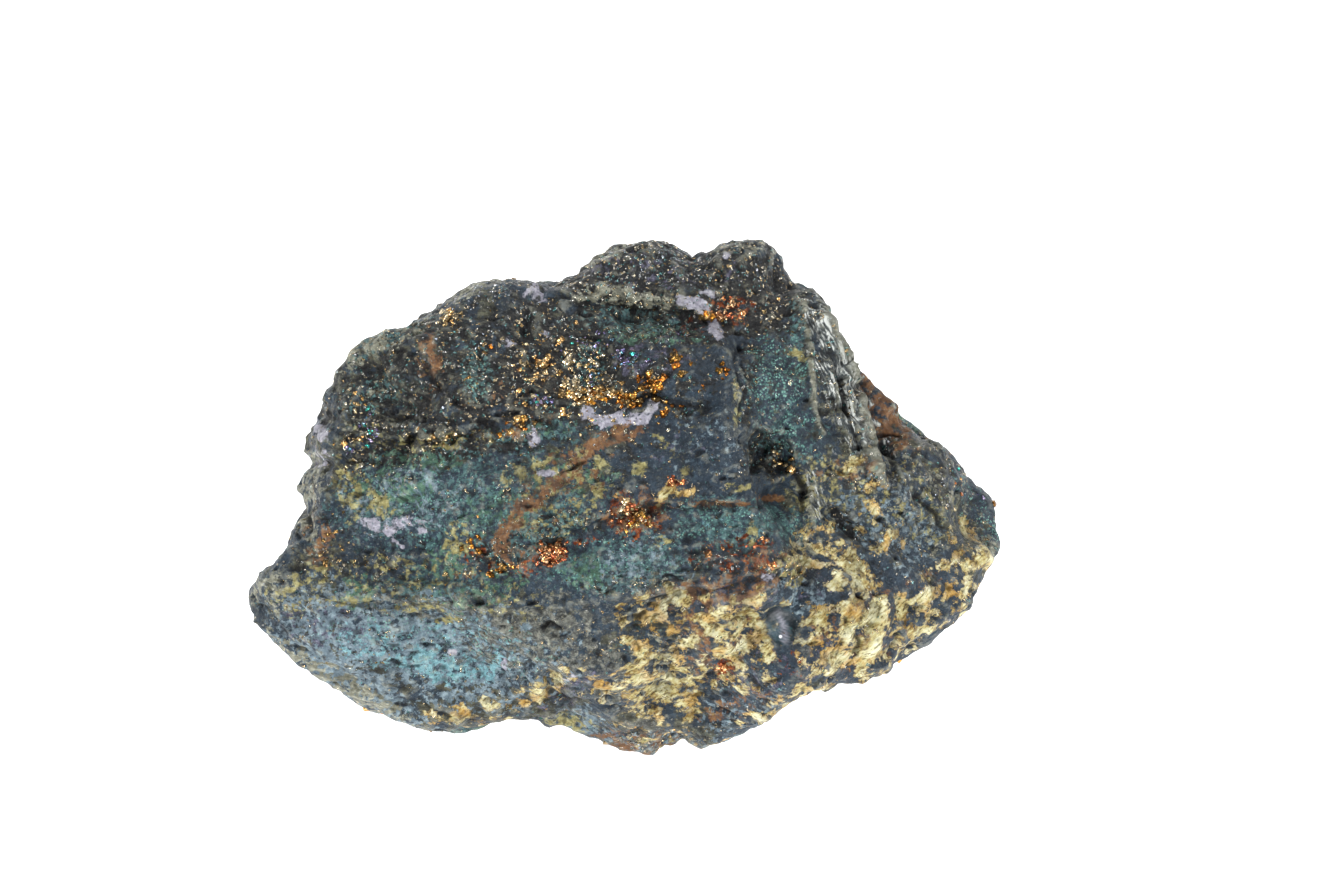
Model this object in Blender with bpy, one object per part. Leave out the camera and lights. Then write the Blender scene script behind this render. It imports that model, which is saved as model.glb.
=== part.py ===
"""A hand-sized lump of chalcopyrite ore: one natural piece, lying on the broken face that it rests on.

The lump is worked out in "seen" millimetres: x to the right and y up across its broad face, and h out
of that face towards an eye that looks down on it. Its outline, its broken faces and its marks are given
there. stand() then tips the lump onto the table, in metres, +Z up, with the eye on the -Y side.
"""

import math

import bmesh
import bpy
import numpy as np

MM = 0.001

# How the broad face stands to the table, and the eye that the outline is given for
EYE_ELEVATION = math.radians(50)
EYE_DISTANCE = 450.0
MIDDLE_HEIGHT = 18.6
RIM_TILT = 0.25  # the top of the rim leans away from the eye by this share of its height

# The widest outline of the lump as the eye sees it, clockwise from the knob at its top
OUTLINE = [
    (11.2, 30.8), (12.6, 31.4), (16.6, 31.2), (18.2, 30.2), (18.8, 28.2), (20.2, 25.8), (22.5, 25.3),
    (23.5, 24.3), (24.9, 20.0), (26.6, 16.1), (28.6, 15.1), (32.3, 11.8), (35.4, 8.7), (38.9, 5.8),
    (42.3, 1.4), (43.5, 0.2), (44.9, -3.6), (45.1, -5.4), (44.3, -7.3), (42.5, -9.9), (41.8, -11.8),
    (41.7, -13.1), (39.5, -14.5), (37.7, -16.4), (34.6, -18.2), (30.7, -21.1), (28.6, -21.8),
    (25.7, -22.2), (24.5, -23.0), (22.5, -23.1), (18.7, -25.1), (14.5, -28.3), (11.7, -29.6),
    (9.5, -30.4), (7.1, -30.0), (3.3, -31.1), (1.3, -30.5), (-3.0, -28.8), (-7.6, -26.9), (-9.3, -27.5),
    (-11.2, -27.0), (-15.5, -27.6), (-22.3, -27.8), (-24.2, -27.8), (-26.6, -26.7), (-32.2, -24.5),
    (-35.1, -22.3), (-40.4, -18.7), (-44.7, -14.7), (-44.7, -13.5), (-45.3, -12.4), (-45.2, -11.2),
    (-43.7, -8.9), (-42.0, -7.5), (-40.4, -5.4), (-40.1, -3.6), (-38.9, -1.0), (-39.3, 1.2),
    (-38.8, 3.1), (-37.7, 4.5), (-38.4, 5.8), (-38.2, 7.5), (-36.9, 10.2), (-36.4, 12.2),
    (-33.4, 16.9), (-31.7, 19.0), (-28.8, 20.4), (-26.4, 20.8), (-22.3, 23.6), (-18.7, 25.7),
    (-16.5, 26.4), (-13.1, 26.6), (-11.2, 26.3), (-7.6, 26.5), (-5.7, 27.1), (-4.0, 28.8),
    (-0.8, 30.5), (1.3, 31.0), (4.2, 31.0), (6.4, 30.2), (8.3, 29.5), (10.2, 29.6),
]

# The rounded body behind the broken faces
FRONT_DEPTH = 20.0
BACK_DEPTH = 27.0
BODY_FULLNESS = 4.0  # 2 is an ellipsoid, and more is boxier
EDGE_SHARPNESS = 36.0  # how tightly the broken faces meet
FIT_FADE = 8.0  # how soon the fit to the outline dies away from the rim inwards

# Broken faces: (x, y, height above the rim there, slope to the right, slope upwards)
FRONT_FACES = {
    "slate_middle": (4, 4, 16.2, 0.06, -0.12),
    "glitter_band": (-6, 17, 12.8, 0.05, -0.55),
    "upper_left_dome": (-24, 15, 12.0, 0.30, -0.45),
    "top_ridge": (5, 27, 8.0, -0.05, -1.20),
    "teal_patch": (18, 13, 12.4, -0.16, -0.50),
    "right_flank": (27, 10, 8.8, -1.00, -0.25),
    "far_right": (37, -2, 7.6, -0.42, -0.10),
    "brassy_right": (26, -15, 11.4, -0.30, 0.60),
    "brassy_middle": (7, -20, 11.6, 0.02, 0.98),
    "blue_lower_left": (-26, -18, 8.8, 0.20, 0.86),
    "left_middle": (-29, -2, 12.2, 0.34, 0.10),
    "left_tip": (-40, -10, 7.2, 0.85, 0.10),
}
BACK_FACES = {
    "back_middle": (2, 3, 22.0, 0.08, -0.20),
    "back_left": (-26, 4, 15.0, 0.42, -0.30),
    "back_right": (27, 2, 15.5, -0.36, -0.12),
    "back_top": (6, 22, 12.6, -0.10, -1.40),
    "back_top_left": (-19, 18, 11.5, 0.55, -1.30),
    "back_low_right": (30, -11, 10.5, -0.70, 0.50),
    "back_low_left": (-34, -10, 9.0, 0.75, 0.35),
}

# Steps in the front: (line that runs with its low side on the right, drop, width of the hollow)
LEDGES = {
    "under_top_band": ([(-8, 23.5), (-2, 24.0), (5, 23.0), (9, 22.0), (14, 21.5)], 2.2, 3.6),
    "under_dome": ([(-35, 8.0), (-29, 7.2), (-22, 7.6), (-16, 9.0)], 1.9, 2.6),
    "teal_side": ([(14.2, 20.0), (14.0, 14.0), (14.6, 8.5)], -1.0, 5.0),
    "flank_shelf": ([(26.6, 16.5), (28.6, 11.0), (30.4, 5.0), (32.5, 0.5)], -4.2, 6.5),
    "left_crease": ([(-42, -10.6), (-33, -12.2), (-22, -13.0), (-12, -13.6), (-5, -13.4)], 1.5, 3.0),
    "lower_rim": ([(-44, -14.2), (-38, -18.0), (-31, -22.4), (-25, -25.0)], 1.6, 3.0),
    "seam": ([(-13, -6.5), (-6, -3.0), (2, -1.0), (12, -0.6), (20, 0.6)], 1.3, 3.2),
    "slate_slab": ([(-1, 10.8), (4, 11.4), (9, 10.2), (13, 10.8)], -1.2, 4.0),
    "brassy_brow": ([(-3, -13.0), (2, -11.4), (9, -10.6), (16, -9.4), (22, -6.8)], 1.2, 3.4),
}
LEDGE_EDGE = 0.5  # half the width of a low step's face
LEDGE_SPREAD = 0.32  # and what each millimetre of drop adds to it
MARKS_FROM, MARKS_WHOLE = 1.0, 8.5  # heights above the rim between which the marks fade in

# Hollows in the front: (x, y, half width, half height, turn in degrees, depth)
PITS = {
    "glinting_pit": (17.6, 5.0, 3.0, 4.2, 24, 3.4),
    "dark_pit": (26.4, -3.0, 3.6, 2.6, -28, 2.6),
    "shell_chip": (18.8, -15.4, 2.6, 3.3, 10, 1.4),
    "notch_valley": (-9.0, -25.0, 2.2, 4.6, -14, 2.6),
    "top_saddle": (9.2, 27.6, 2.6, 4.4, 8, 1.6),
    "dome_saddle": (-9.0, 25.0, 2.6, 3.2, -20, 1.2),
    "left_nick": (-37.0, 3.0, 3.4, 1.5, -40, 1.6),
    "left_hollow": (-25.0, -9.0, 5.0, 1.8, 4, 1.0),
}

# Natural unevenness: (size of a lump, height)
LUMPS = [(19.0, 2.2), (9.5, 0.8), (5.4, 0.4)]
STRATA = (4.0, 0.7, (0.28, 1.0, 0.6))  # band thickness, height, how fast the bands change along x, y, h
CHIPS = [(13.0, 0.42), (6.8, 0.28)]  # flat chipped facets: (size, slope of the flakes)
CHIP_SHARPNESS = 8.0  # how suddenly one flake gives way to the next
WANDER = (5.0, 0.5)  # how far ledges stray sideways: (size, reach)
RAGGED = (3.2, 0.4)  # how uneven the rims of the hollows are: (size, share of their width)
HOLLOW_FLOOR, HOLLOW_RIM = 0.25, 1.25  # shares of a hollow's half width where its wall starts and ends
SPLINTERS = ([(22.5, 25.0), (24.5, 14.0), (28.0, 6.0), (33.0, -1.0)], 5.5, 1.0)  # line, reach, height
SPLINTER_WIDTH = 3.4
SPLINTER_STRETCH = 0.22  # width of a splinter over its length
LEDGE_ENDS = 0.2  # share of a ledge's length over which each end dies away
NOISE_GAIN = 1.6  # brings gradient noise to about -1 to 1
FIELD_START = 100.5  # keeps every lattice place above zero

GRID = 29  # rows of faces along each side of the starting cube
START_SHAPE = (46.0, 31.0, 20.0)  # spreads the faces evenly over a lump of these half sizes
SHARP_ANGLE = math.radians(30)


def smooth_step(low, high, value):
    t = np.clip((value - low) / (high - low), 0, 1)
    return t * t * (3 - 2 * t)


def lattice_number(cells, seed):
    """A number from 0 to 1 for each lattice cell, the same on every run."""
    h = cells[..., 0] * 73856093 ^ cells[..., 1] * 19349663 ^ cells[..., 2] * 83492791 ^ seed * 40503
    for shift, factor in ((15, 2246822519), (13, 3266489917)):
        h = h & 0xFFFFFFFF
        h = ((h ^ (h >> shift)) * factor) & 0xFFFFFFFF
    return (h ^ (h >> 16)) / 2.0**32


def noise(points, size, seed):
    """Gradient noise from about -1 to 1, with lumps of this size."""
    place = points / size + FIELD_START
    cell = np.floor(place).astype(np.int64)
    inside = place - cell
    blend = inside**3 * (inside * (inside * 6 - 15) + 10)
    total = np.zeros(len(points))
    for corner in np.ndindex(2, 2, 2):
        corner = np.array(corner)
        slope = [lattice_number(cell + corner, seed + axis) * 2 - 1 for axis in range(3)]
        rise = ((inside - corner) * np.stack(slope, axis=1)).sum(axis=1)
        total += rise * np.where(corner, blend, 1 - blend).prod(axis=1)
    return total * NOISE_GAIN


def chipped(points, size, slope, seed):
    """Heights of flat flakes: each cell around a scattered point has a tilt of its own."""
    place = points / size + FIELD_START
    cell = np.floor(place).astype(np.int64)
    offsets = np.array(list(np.ndindex(3, 3, 3))) - 1
    near = cell[:, None, :] + offsets
    seeds = near + np.stack([lattice_number(near, seed + axis) for axis in range(3)], axis=2)
    apart = place[:, None, :] - seeds
    tilt = np.stack([lattice_number(near, seed + 5 + axis) * 2 - 1 for axis in range(3)], axis=2)
    far = np.linalg.norm(apart, axis=2)
    share = np.exp((far.min(axis=1, keepdims=True) - far) * CHIP_SHARPNESS)
    heights = (apart * tilt).sum(axis=2)
    return (heights * share).sum(axis=1) / share.sum(axis=1) * size * slope


def outline_reach(angle):
    """How far the outline is from the middle at each angle."""
    corners = np.array(OUTLINE)
    turn = np.arctan2(corners[:, 1], corners[:, 0])
    order = np.argsort(turn)
    return np.interp(angle, turn[order], np.hypot(*corners.T)[order], period=2 * math.pi)


def face_planes():
    """Each broken face as (outward normal, distance from the middle), in seen axes."""
    for faces, side in ((FRONT_FACES, 1.0), (BACK_FACES, -1.0)):
        for x, y, height, right, up in faces.values():
            yield np.array([-right, -up, side]), height - right * x - up * y


def block_reach(ways):
    """How far the plain block is from the middle along each way: a rounded body that the faces cut."""
    across = np.hypot(ways[:, 0], ways[:, 1])
    rim = outline_reach(np.arctan2(ways[:, 1], ways[:, 0]))
    depth = np.where(ways[:, 2] > 0, FRONT_DEPTH, BACK_DEPTH)
    body = (across / rim) ** BODY_FULLNESS + (abs(ways[:, 2]) / depth) ** BODY_FULLNESS
    nearness = body ** (EDGE_SHARPNESS / BODY_FULLNESS)
    for normal, distance in face_planes():
        nearness += np.clip(ways @ normal / distance, 0, None) ** EDGE_SHARPNESS
    return nearness ** (-1 / EDGE_SHARPNESS)


def rough_reach(ways):
    """The block's reach with its lumps, its chipped flakes and the bands of its strata."""
    reach = block_reach(ways)
    points = ways * reach[:, None]
    for number, (size, height) in enumerate(LUMPS):
        reach = reach + height * noise(points, size, 11 + 7 * number)
    for number, (size, slope) in enumerate(CHIPS):
        reach = reach + chipped(points, size, slope, 61 + 9 * number)
    thickness, height, closeness = STRATA
    return reach + height * noise(points * closeness, thickness, 41)


def outline_fit(points):
    """What each point's x and y are scaled by, so that the widest points meet the outline."""
    turns = np.linspace(-math.pi, math.pi, 361)[:-1]
    leans = np.radians(np.linspace(40, 140, 51))
    turn, lean = (grid.ravel() for grid in np.meshgrid(turns, leans, indexing="ij"))
    ways = np.stack([np.sin(lean) * np.cos(turn), np.sin(lean) * np.sin(turn), np.cos(lean)], axis=1)
    widest = (rough_reach(ways) * np.sin(lean)).reshape(len(turns), -1).max(axis=1)
    angle = np.arctan2(points[:, 1], points[:, 0])
    widest_here = np.interp(angle, turns, widest, period=2 * math.pi)
    share = (np.hypot(points[:, 0], points[:, 1]) / widest_here) ** FIT_FADE
    return 1 + share * (outline_reach(angle) / widest_here - 1)


def beside_line(x, y, line):
    """(distance to the right of the line, distance along it, its length), for each point."""
    best = np.full(len(x), np.inf)
    side = np.zeros(len(x))
    along = np.zeros(len(x))
    done = 0.0
    for (x0, y0), (x1, y1) in zip(line, line[1:]):
        length = math.hypot(x1 - x0, y1 - y0)
        ex, ey = (x1 - x0) / length, (y1 - y0) / length
        run = np.clip((x - x0) * ex + (y - y0) * ey, 0, length)
        away = np.hypot(x - x0 - run * ex, y - y0 - run * ey)
        right = (x - x0) * ey - (y - y0) * ex
        closer = away < best
        best = np.where(closer, away, best)
        side = np.where(closer, np.sign(right) * away, side)
        along = np.where(closer, done + run, along)
        done += length
    return side, along, done


def marks(points):
    """Height that the ledges, the hollows and the splintered flank add to the front."""
    x, y, h = points.T
    wander = WANDER[1] * noise(points, WANDER[0], 31)
    ragged = RAGGED[1] * noise(points, RAGGED[0], 37)
    rise = np.zeros(len(points))
    for line, drop, width in LEDGES.values():
        side, along, length = beside_line(x, y, line)
        side = (side + wander) * math.copysign(1, drop)
        fade = LEDGE_ENDS * length
        ends = smooth_step(0, fade, along) * smooth_step(0, fade, length - along)
        edge = LEDGE_EDGE + LEDGE_SPREAD * abs(drop)
        hollow = smooth_step(-edge, edge, side) * np.exp(-np.clip(side, 0, None) / width)
        rise -= abs(drop) * hollow * ends
    for px, py, half_width, half_height, turn, depth in PITS.values():
        c, s = math.cos(math.radians(turn)), math.sin(math.radians(turn))
        across = ((x - px) * c + (y - py) * s) / half_width
        up = ((y - py) * c - (x - px) * s) / half_height
        rise -= depth * (1 - smooth_step(HOLLOW_FLOOR, HOLLOW_RIM, np.hypot(across, up) + ragged))
    line, reach, height = SPLINTERS
    side, along, _ = beside_line(x, y, line)
    strips = np.stack([side, along * SPLINTER_STRETCH, np.zeros(len(x))], axis=1)
    near_flank = 1 - smooth_step(0, reach, abs(side))
    rise += height * near_flank * noise(strips, SPLINTER_WIDTH, 83)
    return rise * smooth_step(MARKS_FROM, MARKS_WHOLE, h)


def stand(points):
    """Seen millimetres to metres on the table: the eye's perspective undone, then the lump tipped down."""
    x, y, h = points.T
    towards = h - RIM_TILT * y
    spread = (EYE_DISTANCE - towards) / EYE_DISTANCE
    x, y = x * spread, y * spread
    c, s = math.cos(EYE_ELEVATION), math.sin(EYE_ELEVATION)
    return np.stack([x, y * s - towards * c, MIDDLE_HEIGHT + y * c + towards * s], axis=1) * MM


def lump_points(ways):
    """Where the lump's surface lies along each way from its middle."""
    ways = ways / np.linalg.norm(ways, axis=1, keepdims=True)
    points = ways * rough_reach(ways)[:, None]
    points[:, :2] *= outline_fit(points)[:, None]
    points[:, 2] += marks(points)
    return stand(points)


def finish(name, colour, roughness, metallic):
    material = bpy.data.materials.new(name)
    material.use_nodes = True
    shader = material.node_tree.nodes["Principled BSDF"]
    shader.inputs["Base Color"].default_value = (*colour, 1)
    shader.inputs["Roughness"].default_value = roughness
    shader.inputs["Metallic"].default_value = metallic
    return material


def make_lump():
    """A gridded cube swelled onto the lump's surface, then cut flat where it rests."""
    bm = bmesh.new()
    bmesh.ops.create_cube(bm, size=2)
    bmesh.ops.subdivide_edges(bm, edges=bm.edges[:], cuts=GRID - 1, use_grid_fill=True)
    cube = np.array([vert.co for vert in bm.verts])
    even = np.tan(cube * math.pi / 4)  # keeps the faces from crowding at the cube's corners
    even /= np.linalg.norm(even, axis=1, keepdims=True)
    for vert, place in zip(bm.verts, lump_points(even * START_SHAPE)):
        vert.co = place
    cut = bmesh.ops.bisect_plane(
        bm, geom=bm.verts[:] + bm.edges[:] + bm.faces[:], dist=1e-7,
        plane_co=(0, 0, 0), plane_no=(0, 0, 1), clear_inner=True,
    )
    rim = [piece for piece in cut["geom_cut"] if isinstance(piece, bmesh.types.BMEdge)]
    bmesh.ops.contextual_create(bm, geom=rim)
    bmesh.ops.recalc_face_normals(bm, faces=bm.faces[:])
    mesh = bpy.data.meshes.new("ore_lump")
    bm.to_mesh(mesh)
    bm.free()
    mesh.shade_smooth()
    mesh.set_sharp_from_angle(angle=SHARP_ANGLE)
    lump = bpy.data.objects.new("ore_lump", mesh)
    bpy.context.scene.collection.objects.link(lump)
    mesh.materials.append(finish("tarnished_sulphide", (0.085, 0.10, 0.105), 0.5, 0.35))
    return lump


for old in list(bpy.data.objects):
    bpy.data.objects.remove(old)
make_lump()
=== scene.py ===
import math

import bpy
import numpy as np
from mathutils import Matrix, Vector


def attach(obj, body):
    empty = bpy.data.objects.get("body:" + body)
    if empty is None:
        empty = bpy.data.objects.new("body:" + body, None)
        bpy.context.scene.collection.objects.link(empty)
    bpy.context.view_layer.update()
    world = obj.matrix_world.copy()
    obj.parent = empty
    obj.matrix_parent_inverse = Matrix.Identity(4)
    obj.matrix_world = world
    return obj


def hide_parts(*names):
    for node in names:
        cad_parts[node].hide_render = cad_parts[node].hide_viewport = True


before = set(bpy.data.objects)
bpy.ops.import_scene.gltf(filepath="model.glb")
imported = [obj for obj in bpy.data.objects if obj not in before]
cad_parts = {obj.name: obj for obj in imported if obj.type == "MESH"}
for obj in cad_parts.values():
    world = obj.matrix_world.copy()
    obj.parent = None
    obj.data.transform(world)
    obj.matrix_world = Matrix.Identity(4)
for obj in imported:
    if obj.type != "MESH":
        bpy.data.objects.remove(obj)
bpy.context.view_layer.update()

# The lump is worked out in "seen" millimetres: x to the right and y up across its broad face, h out of that
# face towards the eye. stand() tips it onto the table, in metres, with the eye on the -Y side.
mm = 0.001
view = {
    "elevation": math.radians(50),
    "distance": 450.0,
    "middleHeight": 18.6,  # height of the lump's middle over the table
    "rimTilt": 0.25,  # the top of the rim leans away from the eye by this share of its height
    "frameWidth": 160.5,  # what the picture's width takes in at the lump's middle
    "shift": (0.0308, 0.042),  # the lump lies left of the picture's middle and below it
}

# The widest outline of the lump as the eye sees it, clockwise from the knob at its top
outline = [
    (11.2, 30.8), (12.6, 31.4), (16.6, 31.2), (18.2, 30.2), (18.8, 28.2), (20.2, 25.8), (22.5, 25.3),
    (23.5, 24.3), (24.9, 20.0), (26.6, 16.1), (28.6, 15.1), (32.3, 11.8), (35.4, 8.7), (38.9, 5.8),
    (42.3, 1.4), (43.5, 0.2), (44.9, -3.6), (45.1, -5.4), (44.3, -7.3), (42.5, -9.9), (41.8, -11.8),
    (41.7, -13.1), (39.5, -14.5), (37.7, -16.4), (34.6, -18.2), (30.7, -21.1), (28.6, -21.8),
    (25.7, -22.2), (24.5, -23.0), (22.5, -23.1), (18.7, -25.1), (14.5, -28.3), (11.7, -29.6),
    (9.5, -30.4), (7.1, -30.0), (3.3, -31.1), (1.3, -30.5), (-3.0, -28.8), (-7.6, -26.9), (-9.3, -27.5),
    (-11.2, -27.0), (-15.5, -27.6), (-22.3, -27.8), (-24.2, -27.8), (-26.6, -26.7), (-32.2, -24.5),
    (-35.1, -22.3), (-40.4, -18.7), (-44.7, -14.7), (-44.7, -13.5), (-45.3, -12.4), (-45.2, -11.2),
    (-43.7, -8.9), (-42.0, -7.5), (-40.4, -5.4), (-40.1, -3.6), (-38.9, -1.0), (-39.3, 1.2),
    (-38.8, 3.1), (-37.7, 4.5), (-38.4, 5.8), (-38.2, 7.5), (-36.9, 10.2), (-36.4, 12.2),
    (-33.4, 16.9), (-31.7, 19.0), (-28.8, 20.4), (-26.4, 20.8), (-22.3, 23.6), (-18.7, 25.7),
    (-16.5, 26.4), (-13.1, 26.6), (-11.2, 26.3), (-7.6, 26.5), (-5.7, 27.1), (-4.0, 28.8),
    (-0.8, 30.5), (1.3, 31.0), (4.2, 31.0), (6.4, 30.2), (8.3, 29.5), (10.2, 29.6),
]

# The block behind the relief. Faces: (x, y, height above the rim there, slope to the right, slope upwards)
block = {
    "frontDepth": 20.0,
    "backDepth": 27.0,
    "fullness": 4.0,
    "edgeSharpness": 36.0,
    "fitFade": 8.0,
    "frontFaces": {
        "slateMiddle": (4, 4, 16.2, 0.06, -0.12),
        "glitterBand": (-6, 17, 12.8, 0.05, -0.55),
        "upperLeftDome": (-24, 15, 12.0, 0.30, -0.45),
        "topRidge": (5, 27, 8.0, -0.05, -1.20),
        "tealPatch": (18, 13, 12.4, -0.16, -0.50),
        "rightFlank": (27, 10, 8.8, -1.00, -0.25),
        "farRight": (37, -2, 7.6, -0.42, -0.10),
        "brassyRight": (26, -15, 11.4, -0.30, 0.60),
        "brassyMiddle": (7, -20, 11.6, 0.02, 0.98),
        "blueLowerLeft": (-26, -18, 8.8, 0.20, 0.86),
        "leftMiddle": (-29, -2, 12.2, 0.34, 0.10),
        "leftTip": (-40, -10, 7.2, 0.85, 0.10),
    },
    "backFaces": {
        "backMiddle": (2, 3, 22.0, 0.08, -0.20),
        "backLeft": (-26, 4, 15.0, 0.42, -0.30),
        "backRight": (27, 2, 15.5, -0.36, -0.12),
        "backTop": (6, 22, 12.6, -0.10, -1.40),
        "backTopLeft": (-19, 18, 11.5, 0.55, -1.30),
        "backLowRight": (30, -11, 10.5, -0.70, 0.50),
        "backLowLeft": (-34, -10, 9.0, 0.75, 0.35),
    },
}

# Steps in the front: (line that runs with its low side on the right, drop, width of the hollow)
ledges = {
    "underTopBand": ([(-8, 23.5), (-2, 24.0), (5, 23.0), (9, 22.0), (14, 21.5)], 2.2, 3.6),
    "underDome": ([(-35, 8.0), (-29, 7.2), (-22, 7.6), (-16, 9.0)], 1.9, 2.6),
    "tealSide": ([(14.2, 20.0), (13.6, 16.4), (14.3, 13.0), (14.6, 8.5)], -0.7, 5.0),
    "flankShelf": ([(26.6, 16.5), (28.6, 11.0), (30.4, 5.0), (32.5, 0.5)], -4.2, 6.5),
    "leftCrease": ([(-42, -10.6), (-33, -12.2), (-22, -13.0), (-12, -13.6), (-5, -13.4)], 0.9, 3.0),
    "lowerRim": ([(-44, -14.2), (-38, -18.0), (-31, -22.4), (-25, -25.0)], 0.8, 3.0),
    "seam": ([(-13, -6.5), (-6, -3.0), (2, -1.0), (12, -0.6), (20, 0.6)], 1.3, 3.2),
    "slateSlab": ([(-1, 10.8), (4, 11.4), (9, 10.2), (13, 10.8)], -1.2, 4.0),
    "brassyBrow": ([(-3, -13.0), (2, -11.4), (9, -10.6), (16, -9.4), (22, -6.8)], 1.2, 3.4),
}

# Hollows in the front: (x, y, half width, half height, turn in degrees, depth)
pits = {
    "glintingPit": (17.5, 5.6, 2.6, 2.9, 24, 2.5),
    "darkPit": (26.8, -3.2, 3.8, 1.7, -42, 1.7),
    "shellChip": (18.8, -15.1, 2.2, 2.6, 20, 0.35),
    "glintingPitTop": (16.3, 6.8, 1.6, 2.1, 10, 1.7),
    "notchValley": (-9.0, -25.0, 2.2, 4.6, -14, 2.6),
    "topSaddle": (9.2, 27.6, 2.6, 4.4, 8, 1.6),
    "domeSaddle": (-9.0, 25.0, 2.6, 3.2, -20, 1.2),
    "leftNick": (-37.0, 3.0, 3.4, 1.5, -40, 1.6),
    "leftHollow": (-25.0, -9.0, 5.0, 1.8, 4, 1.0),
}

relief = {
    "lumps": [(19.0, 2.2), (9.5, 0.8), (5.4, 0.4)],  # (size, height)
    "strata": (4.0, 0.7, (0.28, 1.0, 0.6)),
    "chips": [(13.0, 0.42), (6.8, 0.28)],  # (size, slope of the flakes)
    "chipSharpness": 8.0,
    "wander": (5.0, 0.5),
    "ragged": (3.2, 0.4),
    "hollowFloor": 0.45,
    "hollowRim": 1.12,
    "ledgeEdge": 0.3,
    "ledgeSpread": 0.18,
    "ledgeEnds": 0.2,
    "marksFrom": 1.0,
    "marksWhole": 8.5,
    "splinterLine": [(22.5, 25.0), (24.5, 14.0), (28.0, 6.0), (33.0, -1.0)],
    "splinterReach": 5.5,
    "splinterHeight": 1.0,
    "splinterWidth": 3.4,
    "splinterStretch": 0.22,
}


# 0 below the low value, 1 above the high one, and a smooth S between them
def smoothStep(low, high, value):
    t = np.clip((value - low) / (high - low), 0, 1)
    return t * t * (3 - 2 * t)


# A number from 0 to 1 for each lattice cell, the same on every run
def latticeNumber(cells, seed):
    h = cells[..., 0] * 73856093 ^ cells[..., 1] * 19349663 ^ cells[..., 2] * 83492791 ^ seed * 40503
    for shift, factor in ((15, 2246822519), (13, 3266489917)):
        h = h & 0xFFFFFFFF
        h = ((h ^ (h >> shift)) * factor) & 0xFFFFFFFF
    return (h ^ (h >> 16)) / 2.0**32


latticeStart = 100.5  # keeps the lump's middle off a lattice corner
noiseGain = 1.6


# Gradient noise from about -1 to 1: each lattice corner has a slope, and the eight slopes near a point blend
def noise(points, size, seed):
    place = points / size + latticeStart
    cell = np.floor(place).astype(np.int64)
    inside = place - cell
    blend = inside**3 * (inside * (inside * 6 - 15) + 10)
    total = np.zeros(len(points))
    for corner in np.ndindex(2, 2, 2):
        corner = np.array(corner)
        slope = [latticeNumber(cell + corner, seed + axis) * 2 - 1 for axis in range(3)]
        rise = ((inside - corner) * np.stack(slope, axis=1)).sum(axis=1)
        total += rise * np.where(corner, blend, 1 - blend).prod(axis=1)
    return total * noiseGain


# Patches, 0 to 1: noise cut off below one level and whole above another
def patchy(points, size, low, high, seed):
    return smoothStep(low, high, noise(points, size, seed))


# Heights of flat flakes: each cell around a scattered point has a tilt of its own, and near cells share
def chipped(points, size, slope, seed, sharpness):
    place = points / size + latticeStart
    cell = np.floor(place).astype(np.int64)
    offsets = np.array(list(np.ndindex(3, 3, 3))) - 1
    near = cell[:, None, :] + offsets
    seeds = near + np.stack([latticeNumber(near, seed + axis) for axis in range(3)], axis=2)
    apart = place[:, None, :] - seeds
    tilt = np.stack([latticeNumber(near, seed + 5 + axis) * 2 - 1 for axis in range(3)], axis=2)
    far = np.linalg.norm(apart, axis=2)
    share = np.exp((far.min(axis=1, keepdims=True) - far) * sharpness)
    heights = (apart * tilt).sum(axis=2)
    return (heights * share).sum(axis=1) / share.sum(axis=1) * size * slope


# How far the outline is from the middle at each angle
def outlineReach(angle):
    corners = np.array(outline)
    turn = np.arctan2(corners[:, 1], corners[:, 0])
    order = np.argsort(turn)
    return np.interp(angle, turn[order], np.hypot(*corners.T)[order], period=2 * math.pi)


# Reach of the plain block: a rounded body that the flat broken faces cut, joined by a high power mean
def blockReach(ways):
    across = np.hypot(ways[:, 0], ways[:, 1])
    rim = outlineReach(np.arctan2(ways[:, 1], ways[:, 0]))
    depth = np.where(ways[:, 2] > 0, block["frontDepth"], block["backDepth"])
    body = (across / rim) ** block["fullness"] + (abs(ways[:, 2]) / depth) ** block["fullness"]
    nearness = body ** (block["edgeSharpness"] / block["fullness"])
    for faces, side in ((block["frontFaces"], 1.0), (block["backFaces"], -1.0)):
        for x, y, height, right, up in faces.values():
            normal = np.array([-right, -up, side])
            distance = height - right * x - up * y
            nearness += np.clip(ways @ normal / distance, 0, None) ** block["edgeSharpness"]
    return nearness ** (-1 / block["edgeSharpness"])


# The block's reach plus rounded lumps, flat flakes and the long bands of its strata
def roughReach(ways):
    reach = blockReach(ways)
    points = ways * reach[:, None]
    for number, (size, height) in enumerate(relief["lumps"]):
        reach = reach + height * noise(points, size, 11 + 7 * number)
    for number, (size, slope) in enumerate(relief["chips"]):
        reach = reach + chipped(points, size, slope, 61 + 9 * number, relief["chipSharpness"])
    thickness, height, closeness = relief["strata"]
    return reach + height * noise(points * closeness, thickness, 41)


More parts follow.
